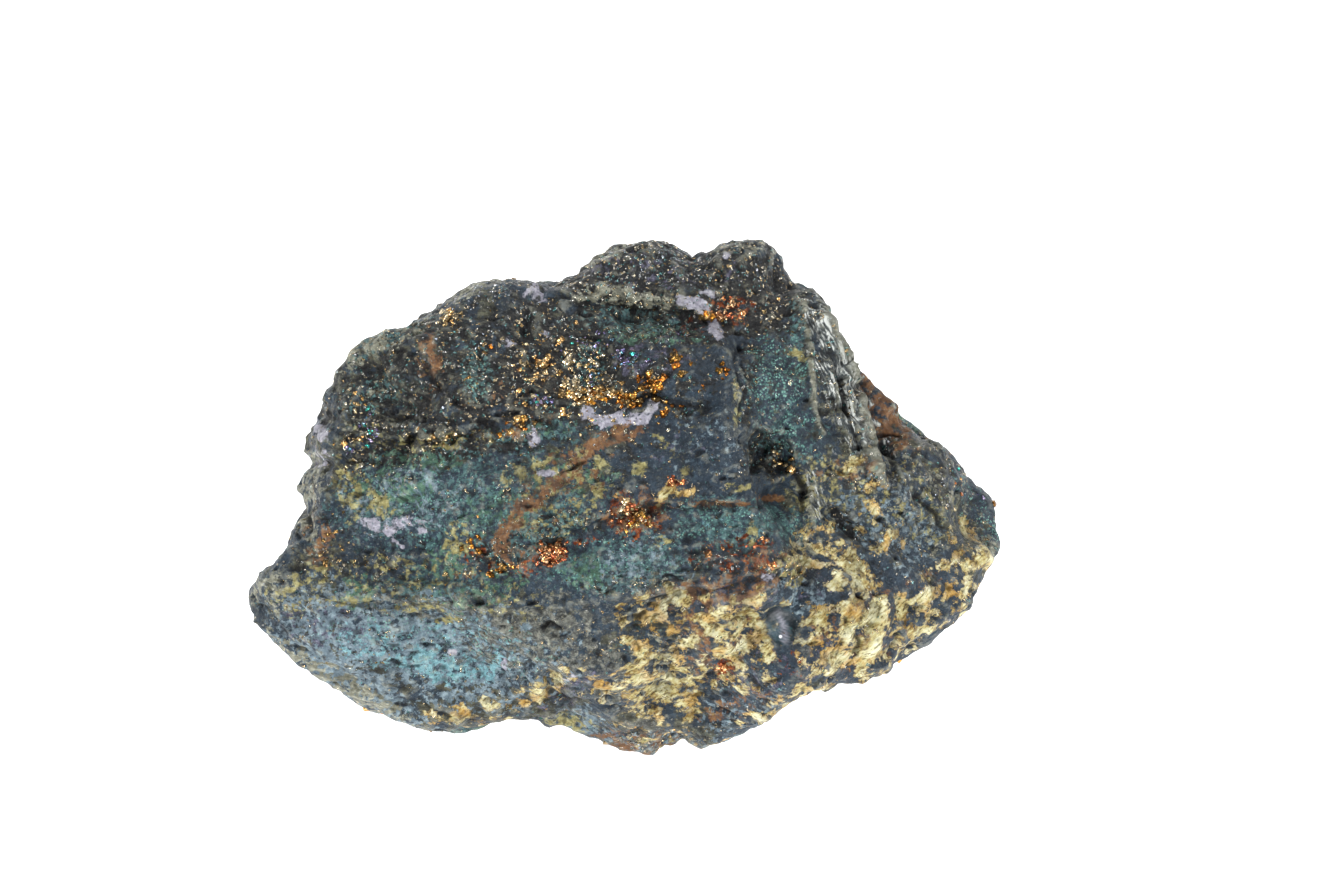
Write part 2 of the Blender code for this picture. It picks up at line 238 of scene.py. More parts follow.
# What each point's x and y are scaled by, so that the widest points meet the outline
def outlineFit(points):
    turns = np.linspace(-math.pi, math.pi, 361)[:-1]
    leans = np.radians(np.linspace(40, 140, 51))
    turn, lean = (grid.ravel() for grid in np.meshgrid(turns, leans, indexing="ij"))
    ways = np.stack([np.sin(lean) * np.cos(turn), np.sin(lean) * np.sin(turn), np.cos(lean)], axis=1)
    widest = (roughReach(ways) * np.sin(lean)).reshape(len(turns), -1).max(axis=1)
    angle = np.arctan2(points[:, 1], points[:, 0])
    widestHere = np.interp(angle, turns, widest, period=2 * math.pi)
    share = (np.hypot(points[:, 0], points[:, 1]) / widestHere) ** block["fitFade"]
    return 1 + share * (outlineReach(angle) / widestHere - 1)


# (distance to the right of a line, distance along it, its length), for each point
def besideLine(x, y, line):
    best = np.full(len(x), np.inf)
    side = np.zeros(len(x))
    along = np.zeros(len(x))
    done = 0.0
    for (x0, y0), (x1, y1) in zip(line, line[1:]):
        length = math.hypot(x1 - x0, y1 - y0)
        ex, ey = (x1 - x0) / length, (y1 - y0) / length
        run = np.clip((x - x0) * ex + (y - y0) * ey, 0, length)
        away = np.hypot(x - x0 - run * ex, y - y0 - run * ey)
        right = (x - x0) * ey - (y - y0) * ex
        closer = away < best
        best = np.where(closer, away, best)
        side = np.where(closer, np.sign(right) * away, side)
        along = np.where(closer, done + run, along)
        done += length
    return side, along, done


# 1 along a line, fading to 0 over a share of its length at both ends
def lineEnds(along, length, share):
    fade = share * length
    return smoothStep(0, fade, along) * smoothStep(0, fade, length - along)


# How far each point is out from an ellipse's middle: 1 on its edge
def ovalDistance(x, y, oval):
    px, py, halfWidth, halfHeight, turn = oval[:5]
    c, s = math.cos(math.radians(turn)), math.sin(math.radians(turn))
    return np.hypot(((x - px) * c + (y - py) * s) / halfWidth, ((y - py) * c - (x - px) * s) / halfHeight)


# Height that ledges (a smooth step, dying away downhill), hollows and splinters add to the front
def marks(points):
    x, y, h = points.T
    wander = relief["wander"][1] * noise(points, relief["wander"][0], 31)
    ragged = relief["ragged"][1] * noise(points, relief["ragged"][0], 37)
    rise = np.zeros(len(points))
    for line, drop, width in ledges.values():
        side, along, length = besideLine(x, y, line)
        side = (side + wander) * math.copysign(1, drop)
        ends = lineEnds(along, length, relief["ledgeEnds"])
        edge = relief["ledgeEdge"] + relief["ledgeSpread"] * abs(drop)
        rise -= abs(drop) * ends * smoothStep(-edge, edge, side) * np.exp(-np.clip(side, 0, None) / width)
    for oval in pits.values():
        out = ovalDistance(x, y, oval) + ragged
        rise -= oval[5] * (1 - smoothStep(relief["hollowFloor"], relief["hollowRim"], out))
    side, along, _ = besideLine(x, y, relief["splinterLine"])
    strips = np.stack([side, along * relief["splinterStretch"], np.zeros(len(x))], axis=1)
    nearFlank = 1 - smoothStep(0, relief["splinterReach"], abs(side))
    rise += relief["splinterHeight"] * nearFlank * noise(strips, relief["splinterWidth"], 83)
    return rise * smoothStep(relief["marksFrom"], relief["marksWhole"], h)


# Seen millimetres to metres on the table: the eye's perspective undone, then the lump tipped down
def stand(points):
    x, y, h = points.T
    towards = h - view["rimTilt"] * y
    nearer = (view["distance"] - towards) / view["distance"]
    x, y = x * nearer, y * nearer
    c, s = math.cos(view["elevation"]), math.sin(view["elevation"])
    return np.stack([x, y * s - towards * c, view["middleHeight"] + y * c + towards * s], axis=1) * mm


# Directions on a grid: six sides of a cube, each a (u, v) grid, swelled to a sphere and joined at the edges
def gridWays(rows, shape, lift):
    steps = np.arange(rows + 1)
    u, v = (grid.ravel() for grid in np.meshgrid(steps, steps, indexing="ij"))
    sides = []
    for axis in range(3):
        for end in (0, rows):
            side = np.empty((len(u), 3), int)
            side[:, axis] = end
            side[:, (axis + 1) % 3] = u
            side[:, (axis + 2) % 3] = v
            sides.append(side)
    lattice, which = np.unique(np.concatenate(sides), axis=0, return_inverse=True)
    which = which.reshape(6, rows + 1, rows + 1)
    quads = np.stack([which[:, :-1, :-1], which[:, 1:, :-1], which[:, 1:, 1:], which[:, :-1, 1:]], axis=-1)
    quads[::2] = quads[::2, :, :, ::-1]  # the low sides face the other way
    ways = np.tan((lattice / rows * 2 - 1) * math.pi / 4)
    ways = ways / np.linalg.norm(ways, axis=1, keepdims=True) * shape + (0, 0, lift)
    return ways / np.linalg.norm(ways, axis=1, keepdims=True), quads.reshape(-1, 4)


# Mean outward direction of the faces around each point
def pointNormals(points, quads):
    outward = np.cross(points[quads[:, 2]] - points[quads[:, 0]], points[quads[:, 3]] - points[quads[:, 1]])
    total = [np.bincount(quads.ravel(), np.repeat(outward[:, axis], 4), len(points)) for axis in range(3)]
    total = np.stack(total, axis=1)
    return total / np.linalg.norm(total, axis=1, keepdims=True)


# Colour zones of the front: ovals (x, y, half width, half height, turn, share covered)
zones = {
    "olive": [
        (-27, 14, 11, 8, 38, 0.5), (-37, -9, 6, 4, 10, 0.45), (-35, 6, 4, 6, 20, 0.5),
        (-25, 6, 11, 2, 4, 0.5), (3, -28, 9, 3, 0, 0.66), (-15, -24.5, 11, 2.4, 4, 0.7),
        (23, 1, 4, 6, 20, 0.3), (40, -3, 4.5, 8, 24, 0.45), (0, 25, 10, 2.6, -4, 0.6),
        (-20, 21.5, 8, 3, 30, 0.5), (-30, -20, 12, 2, -26, 0.5), (26, 6, 3, 14, 22, 0.5),
        (-8, 3, 9, 4, 30, 0.3), (-24, -11.5, 12, 1.6, -3, 0.4), (36, 6, 7, 2, -38, 0.4),
        (2, -16, 6, 3, 30, 0.35),
    ],
    # charcoal: dark tarnish, plus painted shade in the pits, under the ledges below the top band and the
    # dome, and along the brow over the brass
    "charcoal": [
        (-26, 13.5, 12, 9, 38, 0.76), (-8, 16, 14, 8, 0, 1.0), (5, 27, 19, 7, -4, 0.92),
        (16, 24, 8, 5, 0, 0.96), (27, 9, 3.5, 14, 22, 0.5), (38, 4, 6, 5, -42, 0.4),
        (-37, -3, 3, 9, 12, 0.35), (-36, 8, 4, 5, 20, 0.4), (-22, 6.2, 13, 2.4, 4, 0.9),
        (17.1, 5.8, 2.5, 2.9, 24, 1.0), (4, 20.4, 9, 1.6, -8, 0.9), (26.8, -3.2, 3.4, 1.4, -42, 0.95),
        (1, -2, 6, 3, 0, 0.45), (-12, -5, 8, 3, 20, 0.72), (-18, 14, 7, 5, 0, 0.9), (14, -7, 8, 2.4, 0, 0.5),
        (4, -10, 10, 1.6, 0, 0.35), (-33, -9.6, 8, 1.6, 10, 0.3), (10, 12, 8, 3, 0, 0.35),
        (15.2, 15, 1.6, 8, -4, 0.5), (-3, 6, 9, 2, 0, 0.3),
    ],
    "teal": [
        (-20, -0.5, 15, 6.4, 3, 0.44), (18, 13.8, 4.4, 5.8, -10, 0.22), (13.6, -2.8, 8, 3, -3, 0.6),
        (-1, -7.6, 9, 3.4, 6, 0.55), (-17.8, 15.3, 1.8, 3.4, 10, 0.5), (0.7, 21.6, 6, 1.6, -5, 0.45),
        (-4.2, 16, 1.6, 2.8, 0, 0.4), (-29, 19.4, 5, 1.2, 30, 0.5), (20, 7.4, 4, 3.4, 0, 0.35),
        (-10, 8, 6.5, 1.4, 4, 0.45), (-10, -2.5, 6, 4.5, 30, 0.55), (5, 28, 8, 3, 0, 0.12),
        (-22, -10, 8, 2.4, 4, 0.5), (21, 21, 1.6, 3, 0, 0.4), (-30, 13, 5, 2, 30, 0.2), (8, 6, 8, 6, 0, 0.08),
    ],
    "blue": [
        (-32, -15.6, 10, 4.6, -14, 0.75), (-33, -21.6, 11, 2, -32, 0.85), (-18, -24, 8, 1.8, 0, 0.5),
        (21, -11.4, 3, 3, 0, 0.35), (-22, -16, 13, 3.8, -4, 0.7), (-20, -20, 13, 3.4, -4, 0.65),
        (-5, -26.5, 3.6, 1.6, -28, 0.6), (2, -8, 6, 3, 4, 0.35), (-27, 0, 8, 4, 10, 0.35),
        (9, 7, 8, 6, 0, 0.12), (32, -3, 7, 5, -35, 0.36), (14, -25, 6, 3, 30, 0.25),
    ],
    "dots": [
        (18.4, 14.6, 4.0, 4.6, -14, 0.85), (19.6, 8.6, 3.4, 3, 0, 0.5), (13, -2.6, 8, 2.6, -3, 0.45),
        (-1, -7.8, 9, 3, 6, 0.35), (-20, 0, 13, 5, 3, 0.28), (-17.6, 15, 2, 4, 10, 0.5),
        (-24, -17, 16, 4, -8, 0.25), (-4.2, 16, 1.6, 2.8, 0, 0.4), (-28, 13, 5, 3, 30, 0.2),
        (-8, 11.4, 3, 1, 0, 0.4),
    ],
    "sky": [
        (-22.6, -20, 5, 1.8, -12, 0.72), (-17.6, -20.2, 4, 1.6, 4, 0.6), (-30, -18, 6, 2, -20, 0.36),
        (-22, -17, 11, 3, 0, 0.22), (13, -3, 7, 2.6, 0, 0.12),
    ],
    "porous": [
        (-11, -15.6, 9, 4, 4, 0.7), (-5, -19, 6, 3.4, -30, 0.6), (-24, -12.8, 9, 1.6, -4, 0.45),
        (0, -25, 7, 3, -30, 0.35), (4, -11.6, 6, 1.6, 0, 0.3),
    ],
    "green": [
        (-27.6, 1.6, 4, 3, 0, 0.42), (-32, -11, 2.4, 2, 0, 0.42), (-4.8, -8.4, 2.6, 2, 0, 0.55),
        (-22, -7.5, 4, 2, 20, 0.42), (-14.5, -9.4, 3, 2, 0, 0.4), (-25, 4.8, 5, 1.2, 0, 0.45),
        (-16, -1.5, 4, 3, 0, 0.3), (3, 20, 6, 1.2, 0, 0.35), (-19, -12, 4, 1.4, 0, 0.36),
        (-6, 3, 5, 2, 0, 0.3), (-11, 8.6, 6, 1, 4, 0.3),
    ],
    "slate": [
        (9, 7, 7.4, 5.6, -8, 1.0), (34, -2, 7.5, 5.4, -35, 0.6), (17.5, -21.4, 4.6, 2.6, 30, 0.75),
        (19.4, -15.2, 2.6, 3.6, 10, 1.0), (23, 6, 3.4, 7, 10, 0.62), (22, -10, 2.4, 3, 0, 0.65),
        (14, -26.4, 5, 1.8, 30, 0.6), (7, -25.4, 4, 1.6, 10, 0.5), (30, -8, 4, 2.4, 20, 0.5),
    ],
    "brass": [
        (14, -16.4, 5.4, 6, 12, 0.68), (27.6, -16, 6.4, 5.4, 20, 0.78), (35.6, -13, 7, 3.8, 28, 0.58),
        (4.2, -20.8, 7, 6, -40, 0.58), (2, -27.2, 8, 2.6, 5, 0.22), (21, -24, 7.5, 1.8, 22, 0.55),
        (25.6, -7, 3.4, 1.8, 24, 0.66), (31, -2.6, 3.4, 6, 10, 0.38), (41.8, -5.2, 2.4, 3.4, 20, 0.6),
        (40.4, -11.6, 3, 3, 0, 0.45), (-18.4, -25.4, 5.6, 1.7, 4, 0.58), (-9.8, -22.4, 4.4, 1.4, 30, 0.62),
        (26.6, 3.8, 4, 1.5, 6, 0.55), (22, -5.8, 2.6, 3.6, -20, 0.6), (6, 1, 2.2, 1.2, 24, 0.75),
        (9.4, -11.8, 1.2, 0.8, 0, 0.9), (4, -12.8, 4.4, 2.4, 10, 0.62), (-3, -21, 5, 3, -30, 0.36),
        (27.6, -9.8, 4, 2.2, 10, 0.66), (22.6, -16, 1.8, 4, 10, 0.5), (24, -19.4, 3.4, 2.2, 20, 0.6),
        (33.7, -17, 3.4, 1.4, 30, 0.7),
    ],
    "straw": [
        (-29.6, -0.6, 1.6, 1.8, 30, 0.6), (-20.4, -5, 1.4, 2.4, 0, 0.52), (-34.5, -12.3, 4.4, 0.6, -3, 0.5),
        (-21.2, -14.3, 1.6, 0.6, 5, 0.6), (-3, 4.4, 0.7, 0.7, 0, 0.9), (1.8, 3.9, 0.8, 0.9, 0, 0.9),
        (7.2, 3.4, 0.6, 0.6, 0, 0.8), (-3, 1, 0.8, 1.1, 0, 0.8), (12.5, 1.7, 0.8, 0.35, 10, 0.8),
        (14.3, 1.4, 1.0, 0.35, 20, 0.8), (15.3, -4.2, 0.6, 2, 0, 0.55), (13.5, 11.4, 0.45, 3, 4, 0.5),
        (20.8, 17.4, 1.6, 0.6, -40, 0.5), (-22, 7, 8, 1.1, 4, 0.32), (-11.5, 3.6, 3.4, 1.4, 20, 0.42),
        (4.2, 7.2, 0.5, 1.2, 30, 0.4), (-33, 1.6, 2, 4, 10, 0.36), (-25, -13, 4, 0.6, 0, 0.45),
        (-38.5, -9.5, 2, 2, 0, 0.42), (1.2, -2, 2.2, 1.8, -20, 0.4), (-7, 1, 8, 5, 30, 0.2),
        (-28, -9, 10, 3, 0, 0.2), (23, 1, 4, 4, 0, 0.26), (-40, -12, 4, 2, 0, 0.3),
        (4.7, -5.1, 1, 0.8, 30, 0.55), (19.6, -8.4, 2, 2, 0, 0.5), (34, 0, 8, 6, -30, 0.16),
        (-14, -12, 8, 3, 0, 0.14), (-31, 8, 5, 3, 20, 0.12),
    ],
    "rust": [
        (-23.6, 17.0, 1.6, 3.2, 5, 0.6), (31.4, 10.8, 3.2, 5.6, 34, 0.66), (11, -11, 8, 1.9, 4, 0.55),
        (13.5, -24.6, 5, 1.5, 24, 0.5), (26.4, 3.4, 4.4, 1.6, 6, 0.4), (1.2, 8.4, 1.8, 0.7, 20, 0.6),
        (17.8, 0.2, 1.8, 0.5, 0, 0.8), (13.3, -0.5, 2.4, 0.45, 0, 0.8), (17, -7.6, 3.4, 1.4, 0, 0.5),
        (36, -9.5, 4, 1.6, 20, 0.2), (29, -13, 3, 2, 20, 0.4), (9, -16, 2, 5, 20, 0.4),
        (-37, -5, 2, 4, 0, 0.35), (-13, 8, 3, 1, 0, 0.35), (1.4, -1.6, 4, 2.6, 0, 0.5),
        (-9, 1, 8, 4, 35, 0.22), (12, -17, 7, 6, 0, 0.2), (27, -17, 7, 4, 0, 0.2), (-12, 12, 10, 5, 0, 0.12),
        (-16, -7.4, 6, 1.4, 12, 0.26),
    ],
    "splinter": [
        (26.2, 14, 11, 2.4, -68, 0.72), (24, 20, 6, 1.6, -72, 0.76), (31, 5.4, 5, 1.6, -60, 0.45),
        (23, 0.6, 4, 1.2, -78, 0.45),
    ],
    "violet": [
        (3, 17, 5, 2.4, 0, 0.3), (12, -11.6, 7, 2, 0, 0.24), (8, 6, 7, 5, 0, 0.1), (-36, -15, 6, 3, 0, 0.3),
        (24, -10, 4, 4, 0, 0.2), (4, 28, 10, 3, 0, 0.2), (20, -20, 8, 4, 20, 0.16),
        (-6, -23, 5, 1.6, 30, 0.3),
    ],
    # pale: a pale banded tarnish, plus painted light along the rims and on a few shaded spots
    "pale": [
        (-25.6, 20.3, 3.4, 0.8, 38, 0.5), (-38.6, 1, 1.6, 4, 4, 0.55), (-38, -4.2, 1.6, 3.4, 10, 0.5),
        (-42.6, -11, 2.4, 3, 30, 0.45), (-34, -22, 12, 1.4, -32, 0.6), (-37.5, 3.4, 1.4, 2.4, 0, 0.6),
        (22.6, 0.4, 1.8, 4, 20, 0.6), (43, -3, 1.8, 5, 20, 0.75), (36, 8, 6, 1, -38, 0.45),
        (27, 8, 3, 12, 22, 0.2), (14.5, 30.4, 4, 1, 0, 0.4), (-2.6, 29.6, 5, 1, 20, 0.5),
        (-18.7, 25.2, 4, 0.9, 20, 0.6), (-31.6, 18.2, 5, 1.4, 35, 0.62), (22.4, -4.6, 2, 3, -20, 0.5),
        (4.2, -10.8, 4, 2, 0, 0.4), (-31, 10, 5, 6, 30, 0.14), (36, -1, 8, 5, -30, 0.3),
        (4, -21, 6, 5, 0, 0.25), (-10, -16, 8, 4, 0, 0.12),
    ],
    "quartz": [
        (10, 24.8, 1.1, 0.4, 0, 0.9), (12.3, 29.6, 0.7, 0.5, 0, 0.9), (-10.4, 24.8, 1.5, 1.2, -30, 0.6),
        (-11, 7.4, 0.8, 1.2, 10, 0.66), (-9.5, 3.2, 1.2, 0.4, -4, 0.9), (-36.6, 8, 0.8, 1.4, 20, 0.8),
        (-14.4, -19.8, 0.4, 0.7, 0, 0.8), (17.2, -9.2, 0.9, 0.8, 20, 0.55), (-20.8, -18.3, 0.6, 0.3, 0, 0.8),
        (-27.4, -5.2, 1, 0.3, -30, 0.6), (-14, 19, 0.8, 0.7, 0, 0.5), (-9.6, 20, 0.7, 0.5, 0, 0.5),
        (1, 10.2, 2, 0.8, 0, 0.5), (-36.5, 5, 1, 1.6, 0, 0.5), (-7, -21.6, 2, 0.5, 30, 0.4),
    ],
    "ember": [
        (12.5, 23, 2.8, 1.6, 0, 0.5), (1, -2, 3.4, 2.4, -10, 0.45), (6, 2, 1, 0.5, 0, 0.7),
        (-8.8, -6.1, 2.0, 1.6, 10, 0.85), (-11.5, -8.3, 2.2, 1.0, 10, 0.3), (-16.8, -8.3, 2, 0.8, 10, 0.2),
        (13.4, -6.4, 6, 2.2, 4, 0.26), (16.8, -7.6, 2, 1.2, 0, 0.4), (-5, -5, 2, 0.7, 10, 0.25),
        (12, -20.4, 1.2, 1.2, 0, 0.4), (7.6, 21, 1.8, 1.2, 0, 0.2), (-18, -6.2, 1.4, 1.2, 0, 0.35),
        (20, -20, 3, 2, 0, 0.15),
    ],
}

# Streaks of the front: (line, half width, strength)
streaks = {
    "rust": [
        ([(1.5, 8.6), (-1.5, 7.9), (-4.2, 6.4), (-5.6, 4.8), (-6.8, 3.2), (-9, 1.6), (-11.6, -0.8),
          (-14, -3.5), (-15.2, -5.4)], 1.1, 0.74),
        ([(-6.8, 3.2), (-2, 0.4), (4, -0.6), (11, -0.4)], 0.35, 0.5),
    ],
    "quartz": [
        ([(7.0, 23.9), (9.2, 23.4), (10.4, 21.8), (11.2, 20.2)], 0.72, 1.0),
        ([(-5, 10.4), (-2.6, 9.3), (-0.8, 9.9), (2, 9.5), (3.6, 11.8)], 0.7, 0.72),
        ([(-31.4, -2.7), (-28.4, -3.5), (-26.1, -2.5), (-24.3, -3.5)], 0.8, 0.52),
    ],
    "pale": [
        ([(-5.4, 24.6), (-1.3, 25), (2.2, 24.2), (5.0, 23.4)], 0.95, 0.7),
        # the next two: painted highlight along the flank's ridge crests
        ([(21.4, 25), (21.9, 21.6), (22.4, 15.8), (22.6, 11.7)], 0.3, 0.8),
        ([(23.5, 24.7), (25, 20), (27.1, 15.3), (28.7, 10.1), (29.8, 5.4)], 0.6, 0.8),
        ([(13.3, 14), (13.7, 10), (13, 7.5)], 0.3, 0.6),
    ],
}

# Cracks of the front: (line, half width, depth)
cracks = [
    ([(-17.8, 18.3), (-16.3, 16.8)], 0.5, 1.4),
    ([(14.8, 7.8), (15.2, 5.4), (15.9, 2.6)], 0.55, 1.5),
    ([(14.2, 20.2), (13.4, 16.6), (14.3, 13.0), (13.9, 10.0), (14.8, 7.6)], 0.35, 0.55),
    ([(16.2, 1.4), (16.2, -1.6)], 0.28, 0.6),
    ([(-4.2, -12.5), (-2.9, -12.8), (-2.3, -11.6), (-1.4, -10.8), (-0.6, -11.3)], 0.35, 0.9),
    ([(4.7, -9.5), (6.7, -11.6)], 0.35, 0.7),
    ([(-1.8, -15.8), (-0.6, -18.1), (0.7, -20.5)], 0.35, 0.7),
    ([(0.7, -14.2), (3.1, -13.6)], 0.4, 0.9),
    ([(-3.0, 21.9), (1.8, 22.2), (7.2, 20.3), (13.3, 18.7)], 0.6, 0.5),
    ([(-34.9, 9.9), (-29.5, 10.6), (-23.5, 9.6), (-17.5, 9.2), (-7.8, 8.7)], 0.6, 0.6),
    ([(-25.5, 19.5), (-23.4, 14.6), (-20.5, 12.2), (-17.0, 10.0)], 0.5, 0.8),
    ([(-39.2, 1.2), (-38.0, -3.6), (-40.4, -7.2)], 0.5, 0.9),
    ([(-17.5, -7.2), (-12.7, -5.4), (-7.8, -4.8), (-3.0, -6.6), (1.8, -5.4)], 0.35, 0.4),
    ([(-35.5, -12.7), (-27.1, -13.0), (-18.7, -12.0), (-10.2, -15.1)], 0.35, 0.35),
    ([(-10.8, -15.7), (-9.3, -15.0), (-7.0, -15.9)], 0.4, 0.9),
    ([(28.6, 12.0), (30.7, 7.2), (33.7, 2.4)], 0.5, 1.0),
    ([(24.7, 18.0), (26.5, 12.0), (28.0, 6.0)], 0.4, 1.0),
    ([(33.7, 2.4), (38.0, -2.4), (40.4, -7.2)], 0.4, 0.8),
    ([(12.7, -18.0), (16.3, -22.9), (19.9, -20.5)], 0.35, 0.6),
    ([(24.7, -12.0), (28.3, -16.9), (27.1, -20.5)], 0.35, 0.6),
    ([(-13.0, 26.0), (-11.6, 22.6), (-12.4, 18.6)], 0.45, 0.8),
    ([(-1.6, 11.4), (3.4, 12.6), (8.8, 11.2), (12.6, 11.6)], 0.4, 0.7),
    ([(19.6, 6.4), (21.6, 1.4), (21.0, -4.0)], 0.4, 0.8),
    ([(-6.2, 14.6), (-5.4, 10.6)], 0.35, 0.7),
]

# Sharp ribs of the right flank: (line, half width, height)
ribs = [
    ([(21.2, 25.0), (21.9, 21.6), (22.4, 15.8), (22.8, 11.0), (24.0, 5.0)], 0.5, 0.9),
    ([(23.4, 24.8), (25.0, 20.0), (27.1, 15.3), (28.7, 10.1), (29.8, 5.4), (31.6, 0.0)], 0.55, 1.1),
    ([(24.6, 16.5), (26.0, 10.5), (27.4, 5.2)], 0.4, 0.7),
    ([(31.4, 7.0), (33.6, 2.0), (35.6, -2.6)], 0.45, 0.8),
    ([(22.8, 3.0), (22.4, -0.6), (22.8, -4.4)], 0.4, 0.8),
]


# How cracks and ribs run: noise (size, reach, seed) bends them, they thin out over a share of their length at
# both ends, exp(-distance ** power) is their profile, and they show in patches (size, low, high, seed)
crackStyle = {"bend": (1.6, 0.35, 221), "ends": 0.3, "power": 2, "patches": (3.0, -0.5, 0.3, 223)}
ribStyle = {"bend": (1.8, 0.3, 233), "ends": 0.15, "power": 1, "patches": (2.6, -0.5, 0.1, 237)}

surface = {
    "rows": 128,
    "shape": (46.0, 31.0, 20.0),
    "lift": 5.0,  # crowds the grid towards the front
    "front": (-5.0, 1.0),  # heights over the rim where the front starts and where it is whole
    "flakes": [(4.2, 0.15), (2.1, 0.15), (1.15, 0.20)],  # (size, slope)
    "flakeSharpness": 16.0,
    "sheerSlate": 0.6,  # how much smoother the flakes are on slate
    "sheerPale": 0.3,
    "backFlakes": (7.5, 0.2, 12.0),  # larger broken faces behind: (size, slope, sharpness)
    "backDepths": (3, 11),  # where they start behind the rim and where they are whole
    "grit": [(0.9, 0.05), (0.6, 0.05)],  # (size, height)
    "bands": (1.7, 0.26),  # foliation: (spacing, height)
    "bandLean": (0.35, 0.12),  # how far the bands lean with h and with x
    "bandWaves": (9.0, 1.8),  # (size, reach)
    "bandPatches": (6.0, -0.3, 0.4, 157),  # (size, low, high, seed)
    "bandStretch": (0.4, 1, 1),
    "bandFaint": 0.3,  # how strong the bands are outside the dark zones
    "bandProfile": (0.25, 1.8, 0.6),  # (share of a step that climbs, gain, what is taken off)
    "pores": (1.4, 0.6),  # (size, depth)
    "poreEdge": (0.55, 0.74),
    "poreStretch": (0.5, 1.2, 1),
    "poreGain": 0.2,  # what the porous zones add to their noise
    "knobs": (1.3, 0.24),  # crystal clots of the glittering band: (size, height)
    "knobFloor": -0.6,  # how deep the hollows between them are
    "splinters": (0.7, 3.2, 0.36),  # (width, length, height)
    "splinterCut": 2.4,  # how deep the grooves between them are
    "splinterTurn": math.radians(68),
    "crevices": (8.0, 0.045, 0.7),  # winding grooves: (size of their bends, width, depth)
    "crevicePatches": (6.0, -0.1, 0.4, 229),
    "creviceLoss": 0.6,  # how much shallower they are in front
    "quartzSheer": (0.4, 0.9, 0.6),  # quartz is smoother: (from, to, by how much)
    "shellSheer": 0.9,
    "raised": {"quartz": 0.16, "brass": 0.22, "ember": -0.25, "shell": -0.4},  # millimetres
    "shellEdge": (0.75, 1.0),
    "shellRagged": (1.6, 0.2),  # (size, reach)
    # the shell chip's right rim, where shade is painted, and its pale stripe: (line, half width)
    "shellRim": ([(18.4, -12.9), (19.9, -14.2), (20.9, -16.2)], 0.8),
    "shellStripe": ([(18.5, -13.6), (19.1, -15.0), (19.3, -17.0)], 0.34),
    # painted shade in its upper left corner
    "shellCorner": (17.4, -13.8, 1.4, 1.2, 40),  # its shadowed upper left corner
    "shadeEdge": (0.5, 1.2),
    "stripeEdge": (0.5, 1.3),
    "slateClears": 0.6,  # how much slate thins the films that would hide it
    "hollowRounds": (3, 24),  # smoothing rounds that find the small and the large hollows
}


# Grooves or ribs along lines: amount * exp(-distance ** power), the largest where lines meet, in patches
def alongLines(points, lines, style):
    x, y, _ = points.T
    size, reach, seed = style["bend"]
    wander = reach * noise(points, size, seed)
    most = np.zeros(len(points))
    for line, halfWidth, amount in lines:
        side, along, length = besideLine(x, y, line)
        across = (abs(side + wander) / halfWidth) ** style["power"]
        most = np.maximum(most, amount * lineEnds(along, length, style["ends"]) * np.exp(-across))
    return most * patchy(points, *style["patches"])


# Depth of the cracks in front, and of crevices that wind where a noise crosses zero
def crackDepth(points, inFront):
    size, width, depth = surface["crevices"]
    winding = np.exp(-(noise(points, size, 227) / width) ** 2) * patchy(points, *surface["crevicePatches"])
    behind = 1 - surface["creviceLoss"] * inFront
    return alongLines(points, cracks, crackStyle) * inFront + depth * winding * behind


# Each colour besides its zones: (share all over the front, size and threshold of its patches behind)
spread = {
    "olive": (0.10, 15, 0.0), "charcoal": (0.12, 17, 0.0), "teal": (0.06, 12, 0.1), "dots": (0.05, 9, 0.1),
    "blue": (0.04, 15, 0.2), "sky": (0.02, 10, 0.45), "porous": (0.03, 14, 0.25), "green": (0.05, 8, 0.35),
    "slate": (0.0, 16, 0.1), "brass": (0.03, 11, 0.25), "straw": (0.05, 9, 0.2), "rust": (0.05, 10, 0.25),
    "splinter": (0.0, 8, 0.9), "violet": (0.02, 9, 0.4), "pale": (0.04, 8, 0.25), "quartz": (0.01, 7, 0.6),
    "ember": (0.01, 7, 0.55),
}
zoneEdges = {
    "ragged": (2.4, 0.32),  # noise on the edges: (size, reach)
    "oval": (0.4, 1.5),  # where a zone is whole and where it ends, 1 being the edge of its oval
    "streak": (0.5, 1.5),
    "uneven": (7.0, 0.9),  # noise in the share all over the front: (size, reach)
    "behind": (-0.1, 0.5, 0.75),  # patches behind: levels from the threshold, and strength
}


# How much of each point's surroundings a colour covers, 0 to 1: ovals and streaks in front, noise behind
def zoneMask(points, name, inFront, number):
    x, y, _ = points.T
    size, reach = zoneEdges["ragged"]
    ragged = reach * noise(points, size, 207 + 5 * number)
    everywhere, patchSize, threshold = spread[name]
    size, reach = zoneEdges["uneven"]
    mask = everywhere * (1 + reach * noise(points, size, 251 + 5 * number))
    for oval in zones.get(name, ()):
        out = ovalDistance(x, y, oval) + ragged
        mask = np.maximum(mask, oval[5] * (1 - smoothStep(*zoneEdges["oval"], out)))
    for line, halfWidth, strength in streaks.get(name, ()):
        out = abs(besideLine(x, y, line)[0]) / halfWidth + ragged
        mask = np.maximum(mask, strength * (1 - smoothStep(*zoneEdges["streak"], out)))
    low, high, strength = zoneEdges["behind"]
    back = strength * patchy(points, patchSize, threshold + low, threshold + high, 301 + 11 * number)
    return np.clip(mask, 0, 1) * inFront + np.maximum(back, everywhere) * (1 - inFront)


